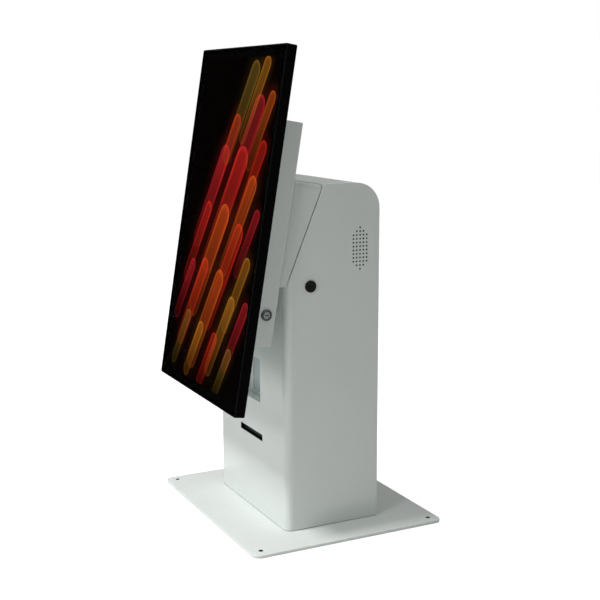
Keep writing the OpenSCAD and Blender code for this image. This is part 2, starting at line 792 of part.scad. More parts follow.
module scanner_pocket() color(white) difference() {
    union() {
        window_box(win / 2 + pocket_flange, yf + sheet, yf + sheet + pocket_wall);
        window_box(win / 2 + pocket_wall, yf + sheet, scan_y);
        for (s = [-1, 1]) box(
            [s * (scan_w / 2 + pocket_wall / 2) - pocket_wall / 2, scan_y - pocket_wall, win_z - 12],
            [s * (scan_w / 2 + pocket_wall / 2) + pocket_wall / 2, scan_y + scan_d - 4, win_z + 12]
        );
    }
    window_box(win / 2, yf, pocket_back - pocket_wall);
    window_box(win / 2 - 5, yf, scan_y - pocket_wall + 0.5);
    window_box(win / 2 - lay_fit, pocket_back, pocket_back + window_t);
    box(
        [-scan_w / 2 + 4, yf, win_z - scan_h / 2 + 4],
        [scan_w / 2 - 4, scan_y + 1, win_z + scan_h / 2 - 4]
    );
}

module scanner_window() color([0.2, 0.25, 0.26]) window_box(win / 2 - 2 * lay_fit, pocket_back, pocket_back + window_t);

module scanner_module() color(dark) difference() {
    union() {
        box([-scan_w / 2, scan_y, win_z - scan_h / 2], [scan_w / 2, scan_y + scan_d, win_z + scan_h / 2]);
        translate([0, scan_y + 1, win_z + 4]) rotate([90, 0, 0]) cylinder(h = 2.5, r = 7);
        for (s = [-1, 1]) translate([s * 11, scan_y + 1, win_z - 7]) rotate([90, 0, 0])
            cylinder(h = 2, r = 4);
    }
    translate([0, scan_y - 3, win_z + 4]) rotate([-90, 0, 0]) cylinder(h = 5, r = 4.5);
}

// Speakers, computer and power supply

module speaker() {
    linear_extrude(2) difference() {
        rounded_plan(spk_h, spk_w, spk_w / 4.4);
        rounded_plan(spk_h - 2 * spk_rim, spk_w - 2 * spk_rim, spk_w / 2 - spk_rim - 0.1);
    }
    translate([0, 0, 2]) difference() {
        linear_extrude(spk_basket_d)
            rounded_plan(spk_h - 2 * spk_wall, spk_w - 2 * spk_wall, spk_w / 2 - spk_wall - 0.1);
        translate([0, 0, -1]) linear_extrude(spk_basket_d - 3)
            rounded_plan(spk_h - 4 * spk_wall, spk_w - 4 * spk_wall, spk_w / 2 - 2 * spk_wall - 0.1);
    }
    translate([0, 0, spk_basket_d + 2]) cylinder(h = 9, r = spk_w / 2 - spk_rim);
}

module speaker_right() color(dark) translate([ped_w / 2 - sheet, spk_y, spk_z]) rotate([0, -90, 0]) speaker();

module speaker_left() color(dark) translate([-ped_w / 2 + sheet, spk_y, spk_z]) rotate([0, 90, 0]) speaker();

module equipment_tray() color(steel) {
    half = ped_w / 2 - sheet;
    difference() {
        box([-half, tray_y0, tray_z - sheet], [half, tray_y1, tray_z]);
        box([half - 60, tray_y1 - 30, tray_z - 5], [half - 15, tray_y1 - 10, tray_z + 5]);
    }
    for (x = [-half, half - sheet]) box([x, tray_y0, tray_z - 16], [x + sheet, tray_y1, tray_z]);
    for (y = [tray_y0, tray_y1 - sheet]) box([-half, y, tray_z - sheet], [half, y + sheet, tray_z + 9]);
}

module mini_computer() color(dark) translate([-40, (tray_y0 + tray_y1) / 2, tray_z]) {
    difference() {
        linear_extrude(pc_h) rounded_plan(pc_w, pc_d, 8);
        for (i = [-5 : 5]) translate([i * 10 - 2, -30, pc_h - 1.5]) cube([4, 60, 3]);
        for (x = [-50, -28, 12, 34]) box([x, pc_d / 2 - 3, 10], [x + 14, pc_d / 2 + 1, 18]);
    }
}

module power_supply() color(dark) translate([0, psu_y, base_t]) {
    linear_extrude(psu_h) rounded_plan(psu_w, psu_d, 6);
    translate([psu_w / 2 - 1, 0, psu_h / 2]) rod_x(0, 8, 5);
}

// Rear service door with its lock

module rear_door() color(white) difference() {
    x = door_w / 2 - door_gap;
    box([-x, yr - door_fold, door_z0 + door_gap], [x, yr, door_z1 - door_gap]);
    box(
        [-x + sheet, yr - door_fold - 1, door_z0 + door_gap + sheet],
        [x - sheet, yr - sheet, door_z1 - door_gap - sheet]
    );
    at_rear_lock() translate([0, 0, -sheet - 1]) cylinder(h = sheet + 2, r = lock_r + lay_fit);
}

module rear_hinge_moving_leaves() color(steel) at_rear_hinges() hinge_leaf(1, leaf_w, false);

module rear_lock_barrel() color(black) at_rear_lock() lock_barrel(lock_head_d);

module rear_lock_nut() color(steel) at_rear_lock() lock_nut();

module rear_lock_plug() color(dark) at_rear_lock() lock_plug(0);

module rear_lock_cam() color(steel) at_rear_lock() lock_cam(rear_cam, 0);

// Hood: front, cheeks, top and lower lip from one folded sheet, with two pads that rest on the front
// panel's upper fold and the hook that the side lock's cam holds

module hood_side() polygon([
    seam_point(seam_len * 1.3, -seam_gap / 2),
    [yf - far, ped_top + far],
    [yf - far, hood_bottom],
    seam_at(hood_bottom, -seam_gap / 2)
]);

module hood_block(inset) on_display() intersection() {
    translate([0, 0, hood_v - inset - far]) linear_extrude(far)
        fold_plan(ped_w - 2 * inset, hood_n + inset, hood_n + far, hood_bend_r - inset);
    translate([0, hood_n - 1, 0]) rotate([-90, 0, 0]) linear_extrude(far)
        fold_plan(ped_w - 2 * inset, inset - hood_v, far, hood_top_r - inset);
}

module hood_shell() color(white) {
    cam_x = ped_w / 2 - cam_start;
    hook_y = side_lock_y + cam_w / 2 + move_gap;
    hook_z = side_lock_z + side_cam + 3;
    hook_in = 4;
    difference() {
        intersection() {
            hood_block(0);
            bar_x(-ped_w, ped_w) hood_side();
        }
        intersection() {
            hood_block(sheet);
            bar_x(-ped_w, ped_w) polygon([
                [yf - far, hood_bottom + sheet], [yr, hood_bottom + sheet],
                [yr, ped_top + far], [yf - far, ped_top + far]
            ]);
        }
        on_display() for (u = [-bolt_u, bolt_u], v = [-bolt_v, bolt_v])
            translate([u, hood_n - 1, v]) rotate([-90, 0, 0]) cylinder(h = sheet + 2, r = bolt_r + lay_fit);
        on_display() translate([0, hood_n - 1, 0]) rotate([-90, 0, 0])
            cylinder(h = sheet + 2, d = hood_cable_d);
    }
    bar_x(-fold_x, fold_x) polygon([
        seam_at(hood_bottom, -seam_gap / 2), seam_point(seam_fold, -seam_gap / 2),
        seam_point(seam_fold, -seam_gap / 2 - sheet), seam_at(hood_bottom, -seam_gap / 2 - sheet)
    ]);
    for (x = [-fold_x, fold_x - 20]) bar_x(x, x + 20) polygon([
        seam_point(seam_fold - 7, seam_gap / 2), seam_point(seam_fold - 1, seam_gap / 2),
        seam_point(seam_fold - 1, -seam_gap / 2 - sheet / 2), seam_point(seam_fold - 7, -seam_gap / 2 - sheet / 2)
    ]);
    intersection() {
        hood_block(sheet / 2);
        bar_x(cam_x - cam_t - hook_in, cam_x - move_gap) {
            translate([yf - far, hook_z]) square([hook_y + sheet - yf + far, sheet]);
            translate([hook_y, hook_z - 24]) square([sheet, 24 + sheet]);
        }
    }
}

module hood_hinge_moving_leaves() color(steel) at_hood_hinges() hinge_leaf(1, hood_leaf_w, false);

// Housing: a shallow folded box between the hood and the display

module tray_solid(w, h, n0, n1, r) intersection() {
    translate([0, 0, -h / 2]) linear_extrude(h) mirror([0, 1]) fold_plan(w, -n1, -n0, r);
    bar_x(-w / 2, w / 2) rotate(90) fold_plan(h, -n1, -n0, r);
}

module display_housing() color(white) difference() {
    on_display() difference() {
        tray_solid(house_w, house_h, house_n, hood_n, house_r);
        tray_solid(house_w - 2 * sheet, house_h - 2 * sheet, house_n - 5, hood_n - sheet, house_r - sheet);
        for (u = [-bolt_u, bolt_u], v = [-bolt_v, bolt_v])
            translate([u, hood_n - sheet - 1, v]) rotate([-90, 0, 0]) cylinder(h = sheet + 2, r = bolt_r + lay_fit);
        translate([0, hood_n - sheet - 1, 0]) rotate([-90, 0, 0]) cylinder(h = sheet + 2, d = hood_cable_d);
    }
    at_house_lock() translate([0, 0, -sheet - 1]) cylinder(h = sheet + 2, r = lock_r + lay_fit);
}

module housing_bolts() color(steel) on_display() for (u = [-bolt_u, bolt_u], v = [-bolt_v, bolt_v])
    translate([u, hood_n, v]) rotate([-90, 0, 0]) {
        translate([0, 0, -sheet - 3.5]) cylinder(h = 3.5, r = 4.3);
        translate([0, 0, -sheet - 1]) cylinder(h = 2 * sheet + 8, r = bolt_r);
        translate([0, 0, sheet]) difference() {
            cylinder(h = 4.5, d = 8 / cos(30), $fn = 6);
            translate([0, 0, -1]) cylinder(h = 7, r = bolt_r + run_fit);
        }
    }

module housing_lock_barrel() color(steel) at_house_lock() lock_barrel(house_head_d);

module housing_lock_nut() color(steel) at_house_lock() lock_nut();

module housing_lock_plug() color(dark) at_house_lock() lock_plug(0);

module housing_lock_cam() color(steel) at_house_lock() lock_cam(house_cam, 180);

// The pins are riveted into the fixed leaves
module display_hinge_fixed_leaves() color(steel) {
    at_display_hinges(-90) hinge_leaf(-1, leaf_w, true);
    at_display_hinges(0) hinge_pin();
}

// Display: a black tray that holds the panel and the cover glass, with two pads that rest on the
// housing's lower rim

module face_plate(w, h, r, n0, n1) translate([0, n1, 0]) rotate([90, 0, 0])
    linear_extrude(n1 - n0) rounded_plan(w, h, r);

module display_frame() color(black) on_display() {
    difference() {
        face_plate(disp_w, disp_h, disp_r, 0, disp_t);
        face_plate(
            disp_w - 2 * disp_wall, disp_h - 2 * disp_wall, disp_r - disp_wall, -1, disp_t - disp_wall
        );
    }
    for (x = [-rest_x - rest_w / 2, rest_x])
        box([x, disp_t - 0.5, -house_h / 2 - 4], [x + rest_w, house_n, -house_h / 2 + 6]);
}

// Bracket on the display's back: the housing's cam turns in front of its lip
module display_catch() color(steel) on_display() {
    cam_x = house_w / 2 - cam_start;
    lip_n = house_lock_n + cam_w / 2 + move_gap;
    lip_v = house_lock_v + lock_r + 1;
    arm_v = house_lock_v + house_cam + 3;
    x0 = cam_x - cam_t - 6;
    x1 = cam_x - 1;
    box([x0, disp_t, arm_v], [x1, disp_t + sheet, arm_v + 16]);
    box([x0, disp_t, arm_v], [x1, lip_n + sheet, arm_v + sheet]);
    box([x0, lip_n, lip_v], [x1, lip_n + sheet, arm_v + sheet]);
}

module cover_glass() color([0.05, 0.05, 0.06]) on_display() face_plate(
    disp_w - 2 * disp_wall - 2 * lay_fit, disp_h - 2 * disp_wall - 2 * lay_fit,
    disp_r - disp_wall, 0, glass_t
);

module lcd_panel() color(dark) on_display()
    face_plate(screen_w + 10, screen_h + 10, 1, glass_t, disp_t - disp_wall);

module display_board() color(green) on_display() translate([0, disp_t, 0]) {
    box([-board_w / 2, 4, -board_h / 2], [board_w / 2, 5.6, board_h / 2]);
    for (u = [-1, 1], v = [-1, 1]) translate([u * (board_w / 2 - 5), 0, v * (board_h / 2 - 5)])
        rotate([-90, 0, 0]) cylinder(h = 4.5, r = 2.5);
    box([-15, 5.5, -15], [15, 9, 15]);
    box([25, 5.5, -38], [55, 14, -26]);
    for (u = [-50, -38, 40]) translate([u, 5.5, 25]) rotate([-90, 0, 0]) cylinder(h = 10, r = 4);
}

module display_hinge_moving_leaves() color(steel) at_display_hinges(180) hinge_leaf(1, house_leaf_w, false);

base_plate();
pedestal_shell();
top_back_cover();
foot_screws();
cable_grommet();
power_inlet();
receipt_bezel();
printer_stand();
printer_chassis();
feed_motor();
cutter_housing();
roll_holder();
roll_spindle();
scanner_pocket();
scanner_window();
scanner_module();
speaker_right();
speaker_left();
equipment_tray();
mini_computer();
power_supply();
side_lock_barrel();
side_lock_nut();
hood_hinge_fixed_leaves();
hood_hinge_pins();
rear_hinge_fixed_leaves();
rear_hinge_pins();
side_lock_plug();
side_lock_cam();
platen_shaft();
platen_sleeve();
platen_gear();
motor_pinion();
paper_roll();
printer_lid();
print_head();
feed_button();
cutter_blade();
rocker_switch();
rear_door();
rear_hinge_moving_leaves();
rear_lock_barrel();
rear_lock_nut();
rear_lock_plug();
rear_lock_cam();
hood_shell();
hood_hinge_moving_leaves();
display_housing();
housing_bolts();
housing_lock_barrel();
housing_lock_nut();
display_hinge_fixed_leaves();
housing_lock_plug();
housing_lock_cam();
display_frame();
display_catch();
cover_glass();
lcd_panel();
display_board();
display_hinge_moving_leaves();
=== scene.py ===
# Countertop self-service kiosk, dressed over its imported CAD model. Metres, in the CAD frame.
from math import cos, degrees, pi, radians, sin

import bmesh
import bpy
from mathutils import Matrix, Vector


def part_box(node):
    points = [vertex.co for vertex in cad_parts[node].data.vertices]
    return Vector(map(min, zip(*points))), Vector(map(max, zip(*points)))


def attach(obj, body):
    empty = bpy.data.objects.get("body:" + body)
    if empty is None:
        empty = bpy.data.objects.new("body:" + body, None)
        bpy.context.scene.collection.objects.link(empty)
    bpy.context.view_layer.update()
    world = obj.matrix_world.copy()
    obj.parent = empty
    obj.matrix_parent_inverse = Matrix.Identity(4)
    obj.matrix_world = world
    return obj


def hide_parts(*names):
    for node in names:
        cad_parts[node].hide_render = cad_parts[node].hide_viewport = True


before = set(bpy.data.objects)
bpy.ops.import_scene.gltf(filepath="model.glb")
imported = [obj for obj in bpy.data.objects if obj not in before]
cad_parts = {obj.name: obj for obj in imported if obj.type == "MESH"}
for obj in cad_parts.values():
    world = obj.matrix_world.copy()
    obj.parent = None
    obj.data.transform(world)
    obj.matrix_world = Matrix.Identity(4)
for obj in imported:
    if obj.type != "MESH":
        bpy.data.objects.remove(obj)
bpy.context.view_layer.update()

# Base plate
# A flat 5 mm steel plate, laser cut and tumbled, white satin powder coat. It stands on the counter and is
# bolted down through its four corner holes.
MM = 0.001
COAT_WHITE = (0.780, 0.832, 0.795, 1)
COAT_THIN = (0.560, 0.590, 0.575, 1)
# The dusted coat for up-facing faces is also painted lighter than the plain white: painted light.
COAT_DUSTED_LIT = (0.850, 0.900, 0.866, 1)
# Painted shade: a near-black coat for the walls of holes and the line under the pedestal's foot.
PAINTED_SHADE, PAINTED_SHADE_THIN = (0.030, 0.031, 0.030, 1), (0.06, 0.06, 0.06, 1)
WELD_DISTANCE, SPECK_LENGTH = 2e-6, 3e-6
FLAT_ANGLE, CORNER_ANGLE, CREASE_ANGLE = radians(0.3), radians(28), radians(38)
BEND_STEPS = 6
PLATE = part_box("base_plate")[1] / MM
PLATE_CORNER, FIXING_INSET, FIXING_REACH = 12.0, 18.0, 3.74


def add_node(tree, kind, sockets=None, **settings):
    """A node with its settings made, and each named socket set to a value or linked to an output."""
    made = tree.nodes.new(kind)
    for name, value in settings.items():
        setattr(made, name, value)
    for name, value in (sockets or {}).items():
        if isinstance(value, bpy.types.NodeSocket):
            tree.links.new(value, made.inputs[name])
        else:
            made.inputs[name].default_value = value
    return made


def start_group(name, inputs, outputs, kind="ShaderNodeTree"):
    """An empty node group with named sockets, and its input sockets."""
    group = bpy.data.node_groups.new(name, kind)
    for way, sockets in (("INPUT", inputs), ("OUTPUT", outputs)):
        for label, socket in sockets:
            group.interface.new_socket(label, in_out=way, socket_type="NodeSocket" + socket)
    return group, group.nodes.new("NodeGroupInput").outputs


def start_surface(name, *inputs):
    """An empty shader group for a surface, with its place, edge mask, colour and more as inputs."""
    return start_group(name, [("Place", "Vector"), ("Edge", "Float"), ("Colour", "Color"), *inputs],
                       [("Colour", "Color"), ("Roughness", "Float"), ("Height", "Float")])


def noise(tree, place, scale, detail=2.0, distortion=0.0):
    """Output of a noise texture on that place."""
    return add_node(tree, "ShaderNodeTexNoise", {
        "Vector": place, "Scale": scale, "Detail": detail, "Distortion": distortion}).outputs[0]


def remap(tree, value, low, high, to_low, to_high):
    """A value's span moved smoothly to another span."""
    return add_node(tree, "ShaderNodeMapRange", {
        0: value, 1: low, 2: high, 3: to_low, 4: to_high}, interpolation_type="SMOOTHSTEP").outputs[0]


def reckon(tree, operation, a, b=0.0):
    """Output of a math node."""
    return add_node(tree, "ShaderNodeMath", {0: a, 1: b}, operation=operation).outputs[0]


def times(tree, a, b):
    return reckon(tree, "MULTIPLY", a, b)


def plus(tree, a, b):
    return reckon(tree, "ADD", a, b)


def shade(tree, colour, value):
    """A colour made lighter or darker by a value."""
    return add_node(tree, "ShaderNodeVectorMath", {0: colour, 1: value}, operation="MULTIPLY").outputs[0]


def mix_colour(tree, share, a, b, blend="MIX"):
    return add_node(tree, "ShaderNodeMix", {0: share, 6: a, 7: b},
                    data_type="RGBA", blend_type=blend).outputs[2]


coat, given = start_surface(
    "powder_coat", ("Thin colour", "Color"), ("Peel", "Float"), ("Dullness", "Float"))
cloudy = remap(coat, noise(coat, given["Place"], 6.0, 3.0), 0.3, 0.7, 0.982, 1.012)
thin = times(coat, given["Edge"], remap(coat, noise(coat, given["Place"], 150.0), 0.46, 0.64, 0.0, 0.75))
handled = remap(coat, noise(coat, given["Place"], 17.0, 3.0, 0.7), 0.35, 0.7, 0.0, 0.03)
speckle = remap(coat, noise(coat, given["Place"], 2300.0, 0.0), 0.3, 0.7, -0.03, 0.03)
add_node(coat, "NodeGroupOutput", {
    "Colour": mix_colour(coat, thin, shade(coat, given["Colour"], cloudy), given["Thin colour"]),
    "Roughness": plus(coat, given["Dullness"], plus(coat, handled, speckle)),
    "Height": noise(coat, given["Place"], given["Peel"], 1.0)})


def empty_tree(holder):
    """The node tree of a material or a world, with nothing in it."""
    holder.use_nodes = True
    holder.node_tree.nodes.clear()
    return holder.node_tree


def start_material(name):
    """A new material, its tree and its Object coordinates."""
    material = bpy.data.materials.new(name)
    tree = empty_tree(material)
    return material, tree, add_node(tree, "ShaderNodeTexCoord").outputs["Object"]


def finish_material(tree, sockets, height=None, strength=0.1, distance=0.0002):
    """The Principled shader of a material, with a bump from that height."""
    if height is not None:
        sockets = {**sockets, "Normal": add_node(tree, "ShaderNodeBump", {
            "Strength": strength, "Distance": distance, "Height": height}).outputs[0]}
    shader = add_node(tree, "ShaderNodeBsdfPrincipled", sockets)
    add_node(tree, "ShaderNodeOutputMaterial", {"Surface": shader.outputs[0]})


def surface_material(name, group, values, plain, relief):
    """A material from a surface group: its values, the shader's plain values and the strength of its bump.
    The attribute "edge" marks where a piece's edges are rounded."""
    material, tree, place = start_material(name)
    edge = add_node(tree, "ShaderNodeAttribute", attribute_name="edge").outputs["Fac"]
    surface = add_node(tree, "ShaderNodeGroup", {
        "Place": place, "Edge": edge, **values}, node_tree=group).outputs
    finish_material(tree, {"Base Color": surface["Colour"], "Roughness": surface["Roughness"], **plain},
                    surface["Height"], relief)
    return material


def coat_material(name, colour, thin_colour, peel_scale, dullness):
    return surface_material(name, coat, {
        "Colour": colour, "Thin colour": thin_colour, "Peel": peel_scale, "Dullness": dullness},
        {"Specular IOR Level": 0.4}, 0.035)


def new_piece(name, data):
    piece = bpy.data.objects.new(name, data)
    bpy.context.scene.collection.objects.link(piece)
    return piece


def piece_from(shape, name, material=None):
    """A piece with the mesh of a finished shape."""
    data = bpy.data.meshes.new(name)
    shape.to_mesh(data)
    shape.free()
    if material:
        data.materials.append(material)
    return new_piece(name, data)


def applied(piece):
    """The piece with its modifiers made part of its mesh."""
    data = bpy.data.meshes.new_from_object(piece.evaluated_get(bpy.context.evaluated_depsgraph_get()))
    piece.modifiers.clear()
    piece.data = data
    return piece


def flat_faces(piece):
    """Normals weighed by area, so that large faces shade flat between their rounded edges."""
    piece.modifiers.new("weighted normals", "WEIGHTED_NORMAL").keep_sharp = True
    return applied(piece)


def touching(edges):
    """The edges in groups that touch one another, so that a tight spot limits only its own group."""
    left = set(edges)
    for first in edges:
        if first in left:
            left.remove(first)
            group = [first]
            for e in group:
                for other in (o for v in e.verts for o in v.link_edges if o in left):
                    left.discard(other)
                    group.append(other)
            yield group


def rounded_copy(node, name, material, edge, steps=2, shortest=0.0, bends=()):
    """The CAD node's shape, its outer edges rounded by edge millimetres as tumbling and paint leave them.
    The corner mask "edge" marks the rounding, edges under shortest millimetres stay as cut, and bends gives
    (test of an edge, radius) for edges with a larger radius."""
    shape = bmesh.new()
    shape.from_mesh(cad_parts[node].data)
    bmesh.ops.remove_doubles(shape, verts=shape.verts, dist=WELD_DISTANCE)
    bmesh.ops.dissolve_limit(shape, angle_limit=FLAT_ANGLE, verts=shape.verts, edges=shape.edges)
    mask = shape.loops.layers.float.new("edge")

    def cut_edges():
        return [e for e in shape.edges if len(e.link_faces) == 2 and e.is_convex
                and e.calc_face_angle(0) > CORNER_ANGLE and e.calc_length() >= shortest * MM]

    def bevel(edges, radius, count, limited):
        return bmesh.ops.bevel(shape, geom=edges, offset=radius * MM, offset_type="OFFSET", segments=count,
                               profile=0.5, affect="EDGES", clamp_overlap=limited)["faces"]

    for test, radius in bends:
        bevel([e for e in cut_edges() if test(e)], radius, BEND_STEPS, False)
    for group in list(touching(cut_edges())):
        for face in bevel([e for e in group if e.is_valid], edge, steps, True):
            for loop in face.loops:
                loop[mask] = 1.0
    bmesh.ops.dissolve_degenerate(shape, edges=shape.edges, dist=SPECK_LENGTH)
    for face in shape.faces:
        face.smooth = True
    for e in shape.edges:
        e.smooth = e.calc_face_angle(0) < CREASE_ANGLE
    piece = piece_from(shape, name, material)
    if "custom_normal" in piece.data.attributes:
        piece.data.attributes.remove(piece.data.attributes["custom_normal"])
    return flat_faces(piece)


coat_white = coat_material("white_powder_coat", COAT_WHITE, COAT_THIN, 620.0, 0.20)
# A duller, dusty copy of the white coat, painted lighter: painted light on tops and on the display's back.
coat_dusted_lit = coat_material("white_powder_coat_lighter_tops", COAT_DUSTED_LIT, COAT_THIN, 620.0, 0.68)


def give_faces(piece, material, test):
    """The faces whose middle, in millimetres, and normal pass the test take another material."""
    piece.data.materials.append(material)
    last = len(piece.data.materials) - 1
    for face in piece.data.polygons:
        if test(face.center / MM, face.normal):
            face.material_index = last


def dust_and_light_on_top(piece):
    """The faces that look up take a duller, dusty copy of the coat that is also painted lighter: painted
    light.
    """
    give_faces(piece, coat_dusted_lit, lambda p, n: n.z > 0.9)


def plate_rim(e):
    """True for the plate's upper outer edge."""
    return all(v.co.z > (PLATE.z - 0.1) * MM and any(
        abs(v.co[axis]) > (PLATE[axis] - PLATE_CORNER) * MM for axis in (0, 1)) for v in e.verts)


def fixing_hole(p, n):
    """True for the wall of a fixing hole."""
    return p.z < PLATE.z - 0.02 and sum(
        (abs(p[axis]) - PLATE[axis] + FIXING_INSET) ** 2 for axis in (0, 1)) < FIXING_REACH ** 2


base_plate = rounded_copy("base_plate", "base_plate_coated", coat_white, 0.35, bends=[(plate_rim, 1.9)])
dust_and_light_on_top(base_plate)
# The fixing holes' walls take the near-black coat: painted shade in the holes.
painted_shade_coat = coat_material("painted_shade_in_holes", PAINTED_SHADE, PAINTED_SHADE_THIN, 900.0, 0.6)
give_faces(base_plate, painted_shade_coat, fixing_hole)
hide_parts("base_plate")
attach(base_plate, "pedestal")

# Foot screws
# Button-head hexagon-socket screws, zinc plated steel, that hold the pedestal's foot flanges and the printer
# stand to the plate.
ZINC = (0.400, 0.410, 0.415, 1)
ZINC_WORN = (0.560, 0.565, 0.568, 1)
SHEET = 1.5
FLANGE_SCREWS, STAND_SCREWS = (125.5, (-44.8, -1.8, 41.2)), (78.0, (-56.8, 45.2))
BUTTON_PROFILE = ((2.5, -6), (2.5, 0), (4.5, 0), (4.5, 0.7), (4.1, 1.6), (3.3, 2.3), (2.3, 2.7))
HEXAGON_HALF, HEXAGON_DEPTH = 1.5, 1.6

metal, given = start_surface(
    "drawn_metal", ("Stretch", "Vector"), ("Bright colour", "Color"), ("Roughness", "Float"))
along = add_node(metal, "ShaderNodeVectorMath", {0: given["Place"], 1: given["Stretch"]},
                 operation="MULTIPLY").outputs[0]
lines = noise(metal, along, 900.0, 3.0)
stain = remap(metal, noise(metal, given["Place"], 60.0, 4.0, 0.5), 0.35, 0.68, 0.86, 1.04)
rubbed = times(metal, given["Edge"], remap(metal, noise(metal, given["Place"], 240.0), 0.4, 0.6, 0.2, 0.9))
add_node(metal, "NodeGroupOutput", {
    "Colour": mix_colour(metal, rubbed, shade(metal, given["Colour"], stain), given["Bright colour"]),
    "Roughness": plus(metal, given["Roughness"], remap(metal, lines, 0.3, 0.7, -0.06, 0.08)),
    "Height": lines})


def metal_material(name, colour, bright, roughness, stretch=(1, 1, 1), relief=0.05):
    return surface_material(name, metal, {
        "Stretch": stretch, "Colour": colour, "Bright colour": bright, "Roughness": roughness},
        {"Metallic": 1.0}, relief)


zinc_plain = metal_material("zinc_plated_steel", ZINC, ZINC_WORN, 0.34)


def bridge(shape, rings):
    """Corners at rings of points in millimetres, with faces from each ring to the next."""
    loops = [[shape.verts.new(Vector(p) * MM) for p in points] for points in rings]
    for low, high in zip(loops, loops[1:]):
        for i in range(len(low)):
            j = (i + 1) % len(low)
            shape.faces.new((low[i], low[j], high[j], high[i]))
    return loops


def fastener(name, rings, recess, depth, count=24):
    """A screw head on +Z: rings of (radius, height) from the seat to the top in millimetres, and a recess
    whose radius at each angle is given, that deep."""
    shape = bmesh.new()
    turns = [2 * pi * i / count for i in range(count)]
    top = rings[-1][1]
    outline = [recess(a) for a in turns]
    levels = [([r] * count, h) for r, h in rings] + [(outline, top), (outline, top - depth)]
    loops = bridge(shape, [
        [(r * cos(a), r * sin(a), h) for r, a in zip(radii, turns)] for radii, h in levels])
    shape.faces.new(loops[-1])
    shape.faces.new(reversed(loops[0]))
    return piece_from(shape, name)


def hexagon(size):
    """Radius of a hexagon socket at an angle, from its half width across flats."""
    return lambda a: size / cos((a % (pi / 3)) - pi / 6)


def start_copies(name, *inputs):
    """An empty Geometry Nodes group that sets copies on points and gives them a finish."""
    return start_group(name, [("Geometry", "Geometry"), *inputs, ("Finish", "Material")],
                       [("Geometry", "Geometry")], "GeometryNodeTree")


def finish_copies(group, given, shape, **more):
    """The group's shape on each point, turned as the point says, made real and given its finish."""
    turn = add_node(group, "GeometryNodeInputNamedAttribute", {"Name": "turn"}, data_type="FLOAT_VECTOR")
    placed = add_node(group, "GeometryNodeInstanceOnPoints", {
        "Points": given["Geometry"], "Instance": shape, "Rotation": turn.outputs[0], **more})
    real = add_node(group, "GeometryNodeRealizeInstances", {"Geometry": placed.outputs[0]})
    dressed = add_node(group, "GeometryNodeSetMaterial", {
        "Geometry": real.outputs[0], "Material": given["Finish"]})
    add_node(group, "NodeGroupOutput", {"Geometry": dressed.outputs[0]})


def set_copies(name, spots, group, values):
    """A group's copies at spots, as one mesh, with the group's named inputs set to values."""
    data = bpy.data.meshes.new(name)
    data.from_pydata([spot.translation for spot in spots], [], [])
    turns = data.attributes.new("turn", "FLOAT_VECTOR", "POINT")
    for item, spot in zip(turns.data, spots):
        item.vector = spot.to_euler()
    piece = new_piece(name, data)
    field = piece.modifiers.new(group.name, "NODES")
    field.node_group = group
    for socket in group.interface.items_tree:
        if socket.name in values:
            field[socket.identifier] = values[socket.name]
    return applied(piece)


fastening, given = start_copies("fasteners_on_points", ("Head", "Object"), ("Size", "Float"))
head = add_node(fastening, "GeometryNodeObjectInfo", {"Object": given["Head"]})
finish_copies(fastening, given, head.outputs["Geometry"], Scale=given["Size"])


def set_fasteners(name, shape, spots, finish):
    return set_copies(name, spots, fastening, {"Head": shape, "Size": 1.0, "Finish": finish})


def placed_at(x, y, z, *turns):
    """A place in millimetres, turned by (degrees, axis) in order."""
    spot = Matrix.Translation(Vector((x, y, z)) * MM)
    for angle, axis in turns:
        spot = spot @ Matrix.Rotation(radians(angle), 4, axis)
    return spot


button_head = fastener("button_head", BUTTON_PROFILE, hexagon(HEXAGON_HALF), HEXAGON_DEPTH)
foot_screws = set_fasteners("foot_screws_button_head", button_head, [
    placed_at(side * x, y, PLATE.z + SHEET)
    for x, row in (FLANGE_SCREWS, STAND_SCREWS) for side in (-1, 1) for y in row], zinc_plain)
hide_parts("foot_screws")
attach(foot_screws, "pedestal")
bpy.data.objects.remove(button_head)

# Cable grommet
# A soft black rubber ring, moulded and pressed into the plate's cable hole, so that the sheet can't cut a
# cable.
RUBBER = (0.020, 0.020, 0.020, 1)
RUBBER_BLOOM = (0.060, 0.060, 0.062, 1)

moulded, given = start_surface(
    "moulded_grain", ("Rubbed colour", "Color"), ("Grain", "Float"), ("Roughness", "Float"))
pits = add_node(moulded, "ShaderNodeTexVoronoi", {
    "Vector": given["Place"], "Scale": given["Grain"]}).outputs[0]
tone = remap(moulded, noise(moulded, given["Place"], 35.0, 3.0), 0.3, 0.7, 0.88, 1.12)
polish = times(moulded, given["Edge"],
               remap(moulded, noise(moulded, given["Place"], 200.0), 0.42, 0.62, 0.1, 0.7))
add_node(moulded, "NodeGroupOutput", {
    "Colour": mix_colour(moulded, polish, shade(moulded, given["Colour"], tone), given["Rubbed colour"]),
    "Roughness": plus(moulded, given["Roughness"], remap(moulded, pits, 0.1, 0.7, 0.05, -0.05)),
    "Height": pits})


def plastic_material(name, colour, rubbed_colour, roughness, grain=1500.0, relief=0.12, specular=0.5):
    return surface_material(name, moulded, {
        "Colour": colour, "Rubbed colour": rubbed_colour, "Grain": grain, "Roughness": roughness},
        {"Specular IOR Level": specular}, relief)


rubber_black = plastic_material("black_rubber", RUBBER, RUBBER_BLOOM, 0.72, 900.0, 0.2)
grommet = rounded_copy("cable_grommet", "cable_grommet_moulded", rubber_black, 0.5)
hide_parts("cable_grommet")
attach(grommet, "pedestal")

